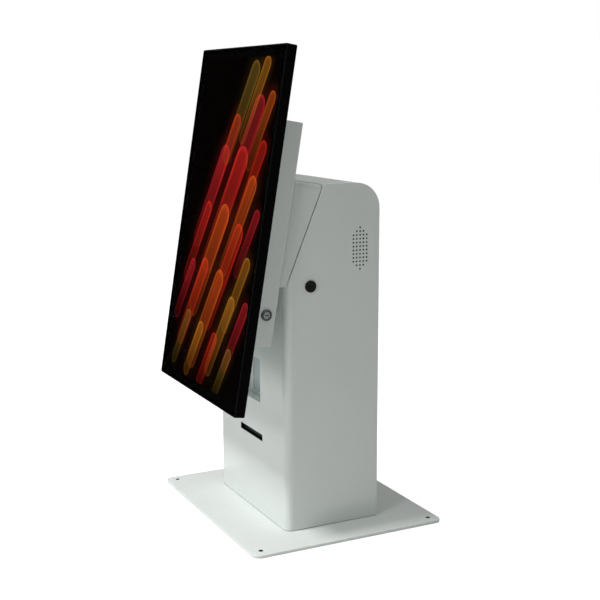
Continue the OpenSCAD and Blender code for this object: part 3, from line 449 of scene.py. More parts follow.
# Pedestal shell
# Front and both sides folded from one 1.5 mm steel sheet, laser cut, white satin powder coat. Its foot
# flanges are screwed to the plate; the thin dark line under the bend and the dark walls of the sound holes
# are painted shade.
shell_low, shell_high = (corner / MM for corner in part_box("pedestal_shell"))
SIDE_X, FRONT_Y, MIDDLE_Y = shell_high.x, shell_low.y, (shell_low.y + shell_high.y) / 2
BEND_REACH, SHADE_LINE_HEIGHT = 5.8, 1.0
SEAM_FOOT, SEAM_TILT, SEAM_GAP, SEAM_LEAST = Vector((FRONT_Y, 401.0)), radians(22.58), 0.8, 20.0
CUT_HALF, CUT_LOW, CUT_HIGH = 90.0, 180.0, 320.0
HOLE_MIDDLE, FIELD_HALF = (46.2, 456.0), (16.0, 36.0)


def foot_bend(e):
    """True for the outer edge of the shell's foot."""
    middle = (e.verts[0].co + e.verts[1].co) / 2 / MM
    outward = Vector((middle.x, middle.y - MIDDLE_Y, 0))
    outer = abs(middle.x) > SIDE_X - 1 or middle.y < FRONT_Y + BEND_REACH
    return outer and middle.z < PLATE.z + 0.2 and any(
        f.normal.dot(outward) > 0 for f in e.link_faces if abs(f.normal.z) < 0.1)


def behind_seam(p):
    """How far a point lies behind the seam's line, in millimetres."""
    return (p.y / MM - SEAM_FOOT.x) * cos(SEAM_TILT) - (p.z / MM - SEAM_FOOT.y) * sin(SEAM_TILT)


def seam_edge(e):
    """True for the outer edge of a side along the seam."""
    return e.calc_length() > SEAM_LEAST * MM and all(
        abs(v.co.x) > (SIDE_X - 0.2) * MM and abs(behind_seam(v.co) - SEAM_GAP) < 0.1 for v in e.verts)


def scanner_cut(e):
    """True for the outer edge of the cut-out in front of the scanner."""
    return all(v.co.y < (FRONT_Y + 0.1) * MM and abs(v.co.x) < CUT_HALF * MM
               and CUT_LOW * MM < v.co.z < CUT_HIGH * MM for v in e.verts)


def painted_shade_faces(p, n):
    """True for the foot's lowest strip and the sound holes' walls, which take painted shade."""
    return p.z < PLATE.z + SHADE_LINE_HEIGHT or (
        SIDE_X - SHEET + 0.05 < abs(p.x) < SIDE_X - 0.1
        and abs(p.y - HOLE_MIDDLE[0]) < FIELD_HALF[0] and abs(p.z - HOLE_MIDDLE[1]) < FIELD_HALF[1])


shell = rounded_copy("pedestal_shell", "pedestal_shell_coated", coat_white, 0.35, shortest=0.45,
                     bends=[(foot_bend, 1.2), (seam_edge, 1.1), (scanner_cut, 0.9)])
# The foot's lowest strip and the sound holes' walls take the near-black coat: painted shade.
give_faces(shell, painted_shade_coat, painted_shade_faces)
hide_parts("pedestal_shell")
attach(shell, "pedestal")

# Rims of the sound holes
# Powder draws back from a punched edge as it melts and leaves a thin round bead at each of the holes in front
# of the two speakers.
HOLE_COLUMNS = (8, 10, 12, 10, 8)
HOLE_PITCH = 6.0
RING_RADIUS, BEAD_RADIUS, BEAD_SINK = 1.62, 0.14, 0.02

beading, given = start_copies("beads_round_holes", ("Ring radius", "Float"), ("Bead radius", "Float"))
ring, bead = (
    add_node(beading, "GeometryNodeCurvePrimitiveCircle", {
        "Resolution": corners, "Radius": given[label]}).outputs[0]
    for corners, label in ((20, "Ring radius"), (6, "Bead radius")))
tube = add_node(beading, "GeometryNodeCurveToMesh", {"Curve": ring, "Profile Curve": bead})
finish_copies(beading, given, tube.outputs[0])

spots = []
for side in (-1, 1):
    for column, holes in enumerate(HOLE_COLUMNS):
        y = HOLE_MIDDLE[0] + (column - len(HOLE_COLUMNS) // 2) * HOLE_PITCH
        for row in range(holes):
            z = HOLE_MIDDLE[1] + (row - (holes - 1) / 2) * HOLE_PITCH
            spots.append(placed_at(side * (SIDE_X - BEAD_SINK), y, z, (90, "Y")))
beads = set_copies("sound_hole_beads", spots, beading, {
    "Ring radius": RING_RADIUS * MM, "Bead radius": BEAD_RADIUS * MM, "Finish": coat_white})
beads.data.shade_smooth()
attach(beads, "pedestal")

# Top and back cover
# One sheet rolled from the top into the back between the two sides, with the service opening, the vents, the
# inlet's cut-out, two door stops and the strike of the rear lock welded on. White powder coat.
cover = rounded_copy("top_back_cover", "top_back_cover_coated", coat_white, 0.35)
dust_and_light_on_top(cover)
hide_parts("top_back_cover")
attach(cover, "pedestal")

# Power inlet and its rocker switch
# A snap-in appliance inlet of glass-filled black plastic with three tinned pins, and a double-pole rocker
# with a glossier cap on its own trunnion.
BLACK = (0.006, 0.006, 0.0065, 1)
BLACK_RUBBED = (0.045, 0.045, 0.047, 1)
TIN, TIN_BRIGHT = (0.720, 0.715, 0.700, 1), (0.86, 0.86, 0.85, 1)
PINS, PIN_HALF, PIN_SPAN = ((-97, 30.5), (-90, 34.5), (-83, 30.5)), (1.2, 2.2), (67.3, 81)
black_moulded = plastic_material("black_moulded_plastic", BLACK, BLACK_RUBBED, 0.46, specular=0.2)
tinned = metal_material("tinned_pins", TIN, TIN_BRIGHT, 0.28)
inlet = rounded_copy("power_inlet", "power_inlet_moulded", black_moulded, 0.3)
give_faces(inlet, tinned, lambda p, n: PIN_SPAN[0] < p.y < PIN_SPAN[1] and any(
    abs(p.x - x) < PIN_HALF[0] and abs(p.z - z) < PIN_HALF[1] for x, z in PINS))
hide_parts("power_inlet")
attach(inlet, "pedestal")

black_gloss = plastic_material("black_gloss_plastic", BLACK, BLACK_RUBBED, 0.22, 2400.0, 0.04)
rocker = rounded_copy("rocker_switch", "rocker_switch_cap", black_gloss, 0.3)
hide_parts("rocker_switch")
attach(rocker, "rocker")

# Receipt slot's bezel
# A black plastic mouth snapped into the front panel from inside, its throat narrowing towards the cutter.
MOUTH_BLACK, MOUTH_RUBBED = (0.0018, 0.0021, 0.0020, 1), (0.016, 0.016, 0.016, 1)
bezel_black = plastic_material("matt_black_plastic", MOUTH_BLACK, MOUTH_RUBBED, 0.6, specular=0.03)
bezel = rounded_copy("receipt_bezel", "receipt_bezel_moulded", bezel_black, 0.35)
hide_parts("receipt_bezel")
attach(bezel, "pedestal")

# Printer stand, roll holder and equipment tray
# Folded zinc plated sheet; the plating keeps the rolled sheet's fine lines along each piece's length.
zinc_sheet = metal_material("zinc_plated_sheet", ZINC, ZINC_WORN, 0.38, (0.06, 1, 1), 0.08)
for node in ("printer_stand", "roll_holder", "equipment_tray"):
    piece = rounded_copy(node, node + "_folded", zinc_sheet, 0.3)
    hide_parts(node)
    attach(piece, "pedestal")

# Printer chassis, cutter housing, lid and spindle
# Dark grey injection moulded plastic with a fine spark-eroded grain; the lid swings on two moulded pins.
DARK = (0.040, 0.041, 0.044, 1)
DARK_RUBBED = (0.095, 0.096, 0.100, 1)
dark_moulded = plastic_material("dark_moulded_plastic", DARK, DARK_RUBBED, 0.52, 1200.0, 0.16)
for node, body, edge in (("printer_chassis", "pedestal", 0.6), ("cutter_housing", "pedestal", 0.35),
                         ("roll_spindle", "pedestal", 0.4), ("printer_lid", "lid", 0.6)):
    piece = rounded_copy(node, node + "_moulded", dark_moulded, edge)
    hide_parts(node)
    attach(piece, body)

# Feed motor and its pinion
# A deep-drawn zinc plated stepper can, and a brass pinion hobbed on its ground shaft.
motor = rounded_copy("feed_motor", "feed_motor_can", zinc_plain, 0.6)
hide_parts("feed_motor")
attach(motor, "pedestal")
BRASS, BRASS_BRIGHT = (0.690, 0.500, 0.210, 1), (0.84, 0.67, 0.36, 1)
brass = metal_material("hobbed_brass", BRASS, BRASS_BRIGHT, 0.3, (0.1, 1, 1))
pinion = rounded_copy("motor_pinion", "motor_pinion_hobbed", brass, 0.08, 1)
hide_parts("motor_pinion")
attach(pinion, "pinion")

# Platen
# A ground steel shaft, a moulded rubber sleeve that grips the paper, and a natural acetal gear pressed on.
SHAFT, SHAFT_BRIGHT = (0.66, 0.665, 0.67, 1), (0.8, 0.8, 0.8, 1)
ACETAL, ACETAL_RUBBED = (0.79, 0.775, 0.70, 1), (0.86, 0.85, 0.79, 1)
ground_shaft = metal_material("ground_shaft", SHAFT, SHAFT_BRIGHT, 0.2, (1, 0.08, 0.08))
acetal = plastic_material("natural_acetal", ACETAL, ACETAL_RUBBED, 0.36, 2000.0, 0.05)
for node, material, slot, edge, steps in (
        ("platen_shaft", ground_shaft, "zinc_steel", 0.3, 2),
        ("platen_sleeve", rubber_black, "rubber_black", 0.4, 2),
        ("platen_gear", acetal, "gear_plastic", 0.1, 1)):
    piece = rounded_copy(node, node + "_finished", material, edge, steps)
    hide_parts(node)
    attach(piece, "platen")

# Print head and cutter blade
# A ceramic-faced steel head under the lid, and a hardened steel blade with a ground, slightly hollow edge.
GROUND, GROUND_BRIGHT = (0.63, 0.64, 0.65, 1), (0.82, 0.82, 0.82, 1)
ground_steel = metal_material("ground_steel", GROUND, GROUND_BRIGHT, 0.24, (0.05, 1, 1), 0.07)
for node, body, edge in (("print_head", "lid", 0.4), ("cutter_blade", "cutter", 0.12)):
    piece = rounded_copy(node, node + "_ground", ground_steel, edge)
    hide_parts(node)
    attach(piece, body)

# Paper roll
# Thermal paper wound tight on the holder's spindle: its ends show the layers as fine rings, its face is
# smooth.
PAPER = (0.870, 0.860, 0.825, 1)
PAPER_SHADE = (0.690, 0.680, 0.640, 1)
roll_low, roll_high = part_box("paper_roll")
roll_middle = (roll_low + roll_high) / 2
paper, tree, place = start_material("wound_paper")
ends = add_node(tree, "ShaderNodeMapping", {"Vector": place, "Location": -roll_middle}).outputs[0]
layers = add_node(tree, "ShaderNodeTexWave", {
    "Vector": ends, "Scale": 420.0, "Distortion": 0.6, "Detail": 1.0},
    wave_type="RINGS", rings_direction="X").outputs[1]
fibre = noise(tree, place, 1300.0, 3.0)
finish_material(tree, {
    "Base Color": mix_colour(tree, times(tree, layers, 0.35), PAPER, PAPER_SHADE),
    "Roughness": remap(tree, fibre, 0.3, 0.7, 0.5, 0.68)}, plus(tree, layers, times(tree, fibre, 0.2)), 0.12)
roll = rounded_copy("paper_roll", "paper_roll_wound", paper, 0.25)
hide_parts("paper_roll")
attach(roll, "paper")

# Feed button
# A small green cap of glossy plastic, held by its flange behind the chassis's rear wall.
GREEN, GREEN_RUBBED = (0.035, 0.230, 0.085, 1), (0.10, 0.34, 0.17, 1)
button_green = plastic_material("green_gloss_plastic", GREEN, GREEN_RUBBED, 0.26, 1800.0, 0.05)
button = rounded_copy("feed_button", "feed_button_cap", button_green, 0.5, 3)
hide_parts("feed_button")
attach(button, "button")

# Scanner's recess, pane and module
# A moulded white pocket behind the front panel, a pale tinted pane set in its back, and the scanner's dark
# module with its lens and two lamps.
POCKET_WHITE, POCKET_RUBBED = (0.90, 0.94, 0.93, 1), (0.93, 0.95, 0.94, 1)
PANE_TINT, PANE_WIPED = (0.64, 0.74, 0.73, 1), (0.60, 0.70, 0.69, 1)
SCANNER_FACE, LENS, LAMPS = -62.5, (0, 236, 4.24), (11, 225, 3.0)
pocket_white = plastic_material("white_moulded_plastic", POCKET_WHITE, POCKET_RUBBED, 0.3, 1600.0, 0.05)
pocket = rounded_copy("scanner_pocket", "scanner_pocket_moulded", pocket_white, 0.4)
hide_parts("scanner_pocket")
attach(pocket, "pedestal")

tinted, tree, place = start_material("tinted_pane")
wipe = noise(tree, place, 90.0, 3.0, 0.8)
finish_material(tree, {
    "Base Color": mix_colour(tree, remap(tree, wipe, 0.35, 0.7, 0.0, 1.0), PANE_TINT, PANE_WIPED),
    "Roughness": remap(tree, wipe, 0.3, 0.7, 0.05, 0.11),
    "Transmission Weight": 0.08, "IOR": 1.52}, wipe, 0.01)
pane = rounded_copy("scanner_window", "scanner_window_pane", tinted, 0.4)
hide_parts("scanner_window")
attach(pane, "pedestal")

lens = plastic_material("lens_glass", (0.020, 0.012, 0.030, 1), (0.08, 0.06, 0.1, 1), 0.08, 2600.0, 0.01)
scanner = rounded_copy("scanner_module", "scanner_module_moulded", dark_moulded, 0.5)
give_faces(scanner, lens, lambda p, n: p.y < SCANNER_FACE and any(
    (abs(p.x) - x) ** 2 + (p.z - z) ** 2 < r ** 2 for x, z, r in (LENS, LAMPS)))
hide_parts("scanner_module")
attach(scanner, "pedestal")

# Speakers
# Two oval drivers: a dark basket screwed behind the sheet, a pressed paper cone with a rolled surround and a
# dust cap, and a black dust cloth behind the sound holes.
CLOTH, CLOTH_WORN = (0.010, 0.010, 0.011, 1), (0.022, 0.022, 0.024, 1)
CONE, CONE_RUBBED = (0.028, 0.027, 0.027, 1), (0.05, 0.05, 0.05, 1)
cloth, tree, place = start_material("dust_cloth")
threads = times(tree, *(
    add_node(tree, "ShaderNodeTexWave", {"Vector": place, "Scale": 900.0}, bands_direction=way).outputs[1]
    for way in "YZ"))
finish_material(tree, {"Base Color": mix_colour(tree, threads, CLOTH, CLOTH_WORN),
                       "Roughness": remap(tree, threads, 0.0, 1.0, 0.95, 0.8)}, threads, 0.3)


def oval(width, depth, count=64):
    """Points of a stadium outline, width along Z and depth along Y, in millimetres."""
    r = min(width, depth) / 2
    reach = max(width, depth) / 2 - r
    points = []
    for i in range(count):
        a = 2 * pi * i / count
        points.append((r * cos(a), r * sin(a) + (reach if sin(a) >= 0 else -reach)))
    return points


def skin_between(name, rings, material, cap=True):
    """A skin through rings of points, closed by a face over the first and the last ring."""
    shape = bmesh.new()
    loops = bridge(shape, rings)
    if cap:
        shape.faces.new(loops[0])
        shape.faces.new(loops[-1])
    bmesh.ops.recalc_face_normals(shape, faces=shape.faces)
    for face in shape.faces:
        face.smooth = True
    return piece_from(shape, name, material)


# Ovals from the rim to the middle: length, width and depth behind the sheet.
CONE_PROFILE = ((75.6, 31.6, 1.9), (73, 29, 1.2), (70, 26, 1.6), (68, 24.4, 2.6), (40, 15, 5.2),
                (24, 12, 6.3), (22, 11, 5.6), (14, 7, 4.6), (3, 1.6, 4.2))
CLOTH_PROFILE = ((76, 32, 0.1), (75.6, 31.6, 0.06), (40, 14, 0.5), (4, 2, 0.6))
cone_paper = plastic_material("pressed_cone_paper", CONE, CONE_RUBBED, 0.8, 700.0, 0.25)
for side, node in ((1, "speaker_right"), (-1, "speaker_left")):
    basket = rounded_copy(node, node + "_basket", dark_moulded, 0.4)
    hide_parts(node)
    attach(basket, "pedestal")
    for layer, profile, thick, material in (("cone", CONE_PROFILE, 0.4, cone_paper),
                                            ("dust_cloth", CLOTH_PROFILE, 0.15, cloth)):
        back = [(w, d, deep + thick) for w, d, deep in reversed(profile)]
        piece = skin_between(f"{node}_{layer}", [
            [(side * (SIDE_X - SHEET - deep), HOLE_MIDDLE[0] + y, HOLE_MIDDLE[1] + z) for y, z in oval(w, d)]
            for w, d, deep in back + list(profile)], material)
        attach(piece, "pedestal")

# Mini computer and power supply
# Closed cases that stand in for bought units: a finned dark case with four sockets, and a black brick with a
# moulded strain relief.
PORTS, PORT_WIDTH, PORT_DEPTH, PORT_RISE = (-90, -68, -28, -6), 14, (52.0, 55.3), (307.5, 316.5)
computer = rounded_copy("mini_computer", "mini_computer_case", dark_moulded, 0.8)
give_faces(computer, tinned, lambda p, n: (
    PORT_DEPTH[0] < p.y < PORT_DEPTH[1] and PORT_RISE[0] < p.z < PORT_RISE[1]
    and any(x - 0.2 < p.x < x + PORT_WIDTH + 0.2 for x in PORTS)))
supply = rounded_copy("power_supply", "power_supply_case", black_moulded, 1.0, 3)
for piece, node in ((computer, "mini_computer"), (supply, "power_supply")):
    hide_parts(node)
    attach(piece, "pedestal")

# Side lock and rear lock
# Black enamelled zinc cam locks: a die-cast barrel clamped to the sheet by a nut, a plug with the keyway, and
# a stamped steel cam on the plug's tail.
ENAMEL, ENAMEL_RUBBED = (0.0025, 0.0028, 0.0025, 1), (0.03, 0.03, 0.03, 1)
PLUG_ENAMEL, PLUG_RUBBED = (0.004, 0.0045, 0.0045, 1), (0.05, 0.05, 0.05, 1)
black_enamel = plastic_material("black_enamel", ENAMEL, ENAMEL_RUBBED, 0.16, 3000.0, 0.02, 0.08)
plug_enamel = plastic_material("plug_enamel", PLUG_ENAMEL, PLUG_RUBBED, 0.3, 2600.0, 0.04, 0.09)
for lock, holder in (("side_lock", "pedestal"), ("rear_lock", "rear_door_body")):
    for part, material, slot, body, edge in (
            ("barrel", black_enamel, "black_plastic", holder, 0.3),
            ("nut", zinc_plain, "zinc_steel", holder, 0.3),
            ("plug", plug_enamel, "black_plastic", lock, 0.2),
            ("cam", zinc_sheet, "zinc_steel", lock, 0.25)):
        piece = rounded_copy(f"{lock}_{part}", f"{lock}_{part}_finished", material, edge)
        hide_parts(f"{lock}_{part}")
        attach(piece, body)

# Rear service door
# A shallow folded tray of the same coated sheet that closes the opening in the back on two hinges.
door = rounded_copy("rear_door", "rear_door_coated", coat_white, 0.35)
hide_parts("rear_door")
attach(door, "rear_door_body")

# Hood
# Front, cheeks, top and lower lip folded from one sheet and welded at the corners; it swings on the left seam
# and its cheeks meet the pedestal's sides along the diagonal gap. White powder coat.
hood = rounded_copy("hood_shell", "hood_shell_coated", coat_white, 0.35)
dust_and_light_on_top(hood)
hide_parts("hood_shell")
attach(hood, "hood")

# Housing behind the display
# A shallow folded box bolted to the hood's front; the display closes it like a door. White powder coat.
housing = rounded_copy("display_housing", "display_housing_coated", coat_white, 0.35)
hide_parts("display_housing")
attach(housing, "hood")
bolts = rounded_copy("housing_bolts", "housing_bolts_plated", zinc_plain, 0.25)
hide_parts("housing_bolts")
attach(bolts, "hood")

# Housing lock
# The same cam lock in dark nickel, with a turned head and a brighter plug.
nickel = metal_material("dark_nickel", (0.030, 0.034, 0.032, 1), (0.16, 0.17, 0.165, 1), 0.26)
nickel_plug = metal_material("nickel_plug", (0.150, 0.162, 0.155, 1), (0.30, 0.31, 0.30, 1), 0.3)
for part, material, slot, body, edge in (
        ("barrel", nickel, "lock_chrome", "hood", 0.3), ("nut", zinc_plain, "zinc_steel", "hood", 0.3),
        ("plug", nickel_plug, "lock_chrome", "housing_lock", 0.2),
        ("cam", zinc_sheet, "zinc_steel", "housing_lock", 0.25)):
    piece = rounded_copy("housing_lock_" + part, f"housing_lock_{part}_finished", material, edge)
    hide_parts("housing_lock_" + part)
    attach(piece, body)

# Hinges of the hood, the rear door and the display
# Stamped zinc plated leaves rolled round steel pins.
for node, body in (("hood_hinge_fixed_leaves", "pedestal"), ("hood_hinge_pins", "pedestal"),
                   ("hood_hinge_moving_leaves", "hood"), ("rear_hinge_fixed_leaves", "pedestal"),
                   ("rear_hinge_pins", "pedestal"), ("rear_hinge_moving_leaves", "rear_door_body"),
                   ("display_hinge_fixed_leaves", "hood"), ("display_hinge_moving_leaves", "display"),
                   ("display_catch", "display")):
    piece = rounded_copy(node, node + "_stamped", zinc_plain, 0.25)
    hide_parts(node)
    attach(piece, body)

# Screws of the hinges
# Countersunk cross-recess screws in yellow passivated steel, two in each leaf, flush but for their domes.
TILT = radians(9.4)
FACE_MIDDLE = Vector((0, -138.973, 492.485))
INTO_DISPLAY = Vector((0, cos(TILT), -sin(TILT)))
HOOD_HINGE_X, HOOD_HINGES = -139.4, (60, 140)
REAR_AXIS, REAR_HINGES = (100, 85.6), (112, 380)
DISPLAY_AXIS, DISPLAY_HINGES = (-150.4, 20.4), (-115, 115)
KNUCKLE, LEAF_FACE, SCREW_RISE = 4.6, 2.9, 10.5
CROSS_PROFILE = ((1.2, -1.2), (1.2, 0), (2.1, 0), (2.1, 0.3), (1.9, 0.55), (1.45, 0.7))
CROSS_REACH, CROSS_HALF, CROSS_DEPTH = 1.15, 0.32, 0.5


def leaf_screws(hinge, reach):
    """Two screw spots on a leaf that runs from the hinge's knuckle to reach, on the side of its sign."""
    across = (abs(reach) + KNUCKLE) / 2 * (1 if reach > 0 else -1)
    return [hinge @ placed_at(across, LEAF_FACE, up, (90, "X"), (turn, "Z"))
            for up, turn in ((-SCREW_RISE, 20), (SCREW_RISE, 65))]


def cross_recess(a):
    """Radius of a cross recess at an angle."""
    b = (a + pi / 4) % (pi / 2) - pi / 4
    return min(CROSS_REACH / cos(b), CROSS_HALF / max(abs(sin(b)), 0.01))


def on_seam(along):
    """Depth and height of a point along the seam from its foot."""
    return SEAM_FOOT.x + along * sin(SEAM_TILT), SEAM_FOOT.y + along * cos(SEAM_TILT)


hood_hinges = [placed_at(HOOD_HINGE_X, *on_seam(along), (-degrees(SEAM_TILT), "X"), (-90, "Z"))
               for along in HOOD_HINGES]
rear_hinges = [placed_at(*REAR_AXIS, up, (180, "Z")) for up in REAR_HINGES]
display_place = placed_at(*FACE_MIDDLE, (-degrees(TILT), "X"))
housing_sides, display_backs = (
    [display_place @ placed_at(*DISPLAY_AXIS, up, (turn, "Z")) for up in DISPLAY_HINGES]
    for turn in (-90, 180))
passivated = metal_material("passivated_steel", (0.46, 0.41, 0.27, 1), (0.62, 0.58, 0.46, 1), 0.3)
cross_head = fastener("cross_head", CROSS_PROFILE, cross_recess, CROSS_DEPTH)
for body, leaves in (("pedestal", [(hood_hinges, -17), (rear_hinges, -17)]),
                     ("hood", [(hood_hinges, 13), (housing_sides, -17)]),
                     ("rear_door_body", [(rear_hinges, 17)]), ("display", [(display_backs, 12.6)])):
    spots = [spot for hinges, reach in leaves for hinge in hinges for spot in leaf_screws(hinge, reach)]
    piece = set_fasteners(body + "_hinge_screws", cross_head, spots, passivated)
    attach(piece, body)
bpy.data.objects.remove(cross_head)

# Display frame
# A deep-drawn steel tray that holds the panel and the glass: its rim has a fine black powder coat, its back
# the dusted copy of the kiosk's white coat, painted lighter than the plain white.
FRAME_BLACK = (0.0011, 0.0011, 0.0011, 1)
FRAME_INSIDE = 163.0
frame_black = plastic_material("frame_black_coat", FRAME_BLACK, FRAME_BLACK, 0.42, 1700.0, 0.06, 0.012)
tray = rounded_copy("display_frame", "display_frame_coated", frame_black, 0.5, 3)
# The tray's back takes the dusted white coat that is painted lighter: painted light.
give_faces(tray, coat_dusted_lit, lambda p, n: n.dot(INTO_DISPLAY) > 0.9 and abs(p.x) < FRAME_INSIDE)
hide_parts("display_frame")
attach(tray, "display")

# Panel with a picture
# A liquid crystal panel in a bright steel bezel. Its picture is a generic one: slanted glowing bars in warm
# colours on black.
SLANT = radians(64)
PANEL_FRONT, FACE_DROP = 3.5, 0.08


def on_display(x, n, v):
    """A point across, into and up the display's face in millimetres, as a place in metres."""
    return display_place @ (Vector((x, n, v)) * MM)


glow_bar, given = start_group(
    "glow_bar",
    [("Place", "Vector"), ("Along", "Float"), ("Across", "Float"), ("Half length", "Float"),
     ("Radius", "Float"), ("Colour", "Color")],
    [("Colour", "Color")])
parts = add_node(glow_bar, "ShaderNodeSeparateXYZ", {0: given["Place"]}).outputs
run = reckon(glow_bar, "SUBTRACT", parts["X"], given["Along"])
beyond = reckon(glow_bar, "SUBTRACT", reckon(glow_bar, "ABSOLUTE", run), given["Half length"])
spread = add_node(glow_bar, "ShaderNodeCombineXYZ", {
    0: reckon(glow_bar, "MAXIMUM", beyond),
    1: reckon(glow_bar, "SUBTRACT", parts["Z"], given["Across"])}).outputs[0]
away = reckon(glow_bar, "DIVIDE", add_node(
    glow_bar, "ShaderNodeVectorMath", {0: spread}, operation="LENGTH").outputs[1], given["Radius"])
body = remap(glow_bar, away, 0.94, 1.0, 1.0, 0.0)
rim = remap(glow_bar, away, 0.5, 0.96, 0.45, 1.0)
halo = remap(glow_bar, away, 0.9, 2.6, 0.055, 0.0)
tail = remap(glow_bar, reckon(glow_bar, "DIVIDE", run, given["Half length"]), -1.25, 1.15, 0.20, 1.0)
light = times(glow_bar, plus(glow_bar, times(glow_bar, body, rim), halo), tail)
add_node(glow_bar, "NodeGroupOutput", {"Colour": shade(glow_bar, given["Colour"], light)})

RED, CRIMSON, ORANGE = (0.340, 0.012, 0.006, 1), (0.270, 0.010, 0.014, 1), (0.330, 0.056, 0.006, 1)
AMBER, OLIVE = (0.260, 0.098, 0.009, 1), (0.125, 0.072, 0.010, 1)
BACKLIGHT = (0.0010, 0.0004, 0.0003, 1)
# Bars on the face: across, up, half length, radius and colour.
BARS = (
    (70, 196, 62, 13, AMBER), (24, 176, 74, 17, OLIVE), (106, 150, 56, 12, ORANGE),
    (52, 112, 84, 20, CRIMSON), (-18, 98, 70, 15, RED), (96, 70, 60, 14, RED), (-52, 38, 78, 18, CRIMSON),
    (10, 20, 92, 24, RED), (70, 0, 74, 17, ORANGE), (112, -22, 50, 11, CRIMSON), (-84, -40, 64, 14, RED),
    (-26, -66, 86, 21, ORANGE), (40, -84, 80, 19, RED), (98, -104, 56, 13, AMBER),
    (-112, -124, 48, 12, CRIMSON), (-70, -140, 70, 16, RED), (-8, -160, 78, 18, ORANGE),
    (116, -166, 52, 12, CRIMSON), (58, -176, 62, 14, AMBER), (-100, -205, 44, 11, OLIVE),
    (-40, -214, 42, 12, AMBER), (20, -222, 42, 12, RED), (86, -228, 34, 11, OLIVE))
picture, tree, place = start_material("panel_picture")
face = add_node(tree, "ShaderNodeMapping", {
    "Vector": place, "Location": FACE_MIDDLE * MM, "Rotation": (-TILT, 0, 0)},
    vector_type="TEXTURE").outputs[0]
slanted = add_node(tree, "ShaderNodeMapping", {"Vector": face, "Rotation": (0, SLANT, 0)}).outputs[0]
total = BACKLIGHT
for x, v, half, radius, colour in BARS:
    bar = add_node(tree, "ShaderNodeGroup", {
        "Place": slanted, "Along": (x * cos(SLANT) + v * sin(SLANT)) * MM,
        "Across": (v * cos(SLANT) - x * sin(SLANT)) * MM, "Half length": half * MM,
        "Radius": radius * MM, "Colour": colour}, node_tree=glow_bar).outputs[0]
    total = mix_colour(tree, 1.0, total, bar, "ADD")
finish_material(tree, {
    "Base Color": (0.0006, 0.0006, 0.0007, 1), "Roughness": 0.35, "Specular IOR Level": 0.0,
    "Emission Color": total, "Emission Strength": 1.0})
BEZEL, BEZEL_BRIGHT = (0.55, 0.555, 0.56, 1), (0.7, 0.7, 0.7, 1)
steel_bezel = metal_material("panel_bezel_steel", BEZEL, BEZEL_BRIGHT, 0.4, (1, 1, 0.08))
panel = rounded_copy("lcd_panel", "lcd_panel_lit", steel_bezel, 0.3)
give_faces(panel, picture, lambda p, n: n.dot(INTO_DISPLAY) < -0.99)
for vertex in panel.data.vertices:
    if (vertex.co - on_display(0, PANEL_FRONT, 0)).dot(INTO_DISPLAY) < 0:
        vertex.co += INTO_DISPLAY * FACE_DROP * MM
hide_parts("lcd_panel")
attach(panel, "display")

# Cover glass and its printed border
# Chemically hardened glass with a finely etched, anti-reflective face; a black border is screen printed on
# its back round the picture.
PICTURE, PRINT, PRINT_DEPTHS = (296.5, 527.0), (324.4, 556.4), (3.01, 3.04)
INK = (0.0022, 0.0022, 0.0024, 1)
CORNERS = ((-1, -1), (1, -1), (1, 1), (-1, 1))
cover_clear, tree, place = start_material("cover_glass_clear")
film = noise(tree, place, 24.0, 3.0, 1.2)
finish_material(tree, {
    "Base Color": (0.93, 0.95, 0.945, 1), "Roughness": remap(tree, film, 0.3, 0.7, 0.10, 0.13),
    "Transmission Weight": 1.0, "IOR": 1.001})
glass = rounded_copy("cover_glass", "cover_glass_hardened", cover_clear, 0.35)
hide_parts("cover_glass")
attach(glass, "display")

ink = plastic_material("printed_black_border", INK, INK, 0.5, 2200.0, 0.02, 0.0)
near, far = PRINT_DEPTHS
print_rings = []
for (w, h), n in ((PRINT, near), (PICTURE, near), (PICTURE, far), (PRINT, far), (PRINT, near)):
    print_rings.append([on_display(x * w / 2, n, v * h / 2) / MM for x, v in CORNERS])
border = skin_between("cover_glass_border", print_rings, ink, cap=False)
border.data.shade_flat()
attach(border, "display")

# Display driver board
# A green circuit board on four posts behind the panel, with a driver chip, a cable connector and capacitors.
SOLDER_MASK, SOLDER_RUBBED = (0.016, 0.105, 0.042, 1), (0.1, 0.2, 0.1, 1)
NYLON, NYLON_RUBBED = (0.70, 0.68, 0.62, 1), (0.8, 0.78, 0.72, 1)
DISPLAY_BACK, BOARD_TOP, POST_TOP = 16, 5.65, 3.9
CHIP_HALF, CONNECTOR, CAPACITORS = 16, (24, -20), 18
solder_mask = plastic_material("green_solder_mask", SOLDER_MASK, SOLDER_RUBBED, 0.3, 420.0, 0.06)
nylon = plastic_material("connector_nylon", NYLON, NYLON_RUBBED, 0.4, 1600.0, 0.05)
board = rounded_copy("display_board", "display_board_made", solder_mask, 0.2)


def board_part(test):
    """A test of faces by (across, up, height over the display's back) in millimetres."""
    def passes(p, n):
        u, into, v = display_place.inverted() @ (p * MM) / MM
        return test(u, v, into - DISPLAY_BACK)
    return passes


give_faces(board, black_moulded, board_part(
    lambda u, v, h: h > BOARD_TOP and abs(u) < CHIP_HALF and abs(v) < CHIP_HALF))
give_faces(board, nylon, board_part(lambda u, v, h: h > BOARD_TOP and u > CONNECTOR[0] and v < CONNECTOR[1]))
give_faces(board, zinc_plain, board_part(lambda u, v, h: h > BOARD_TOP and v > CAPACITORS or h < POST_TOP))
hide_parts("display_board")
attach(board, "display")

# Floor and studio light
# A pale seamless floor that runs out to a white surround, a softbox in front above the user, a weaker one at
# the front right and a wide weak one overhead.
FLOOR_HALF, FLOOR_DROP = 9.0, 0.0004
scene = bpy.context.scene
scene.view_settings.view_transform = "Standard"


def seen_directly(tree):
    """1 for rays that show the background: from the camera, off gloss and through glass."""
    path = add_node(tree, "ShaderNodeLightPath").outputs
    shown = reckon(tree, "MAXIMUM", path["Is Camera Ray"], path["Is Glossy Ray"])
    return reckon(tree, "MAXIMUM", shown, path["Is Transmission Ray"])


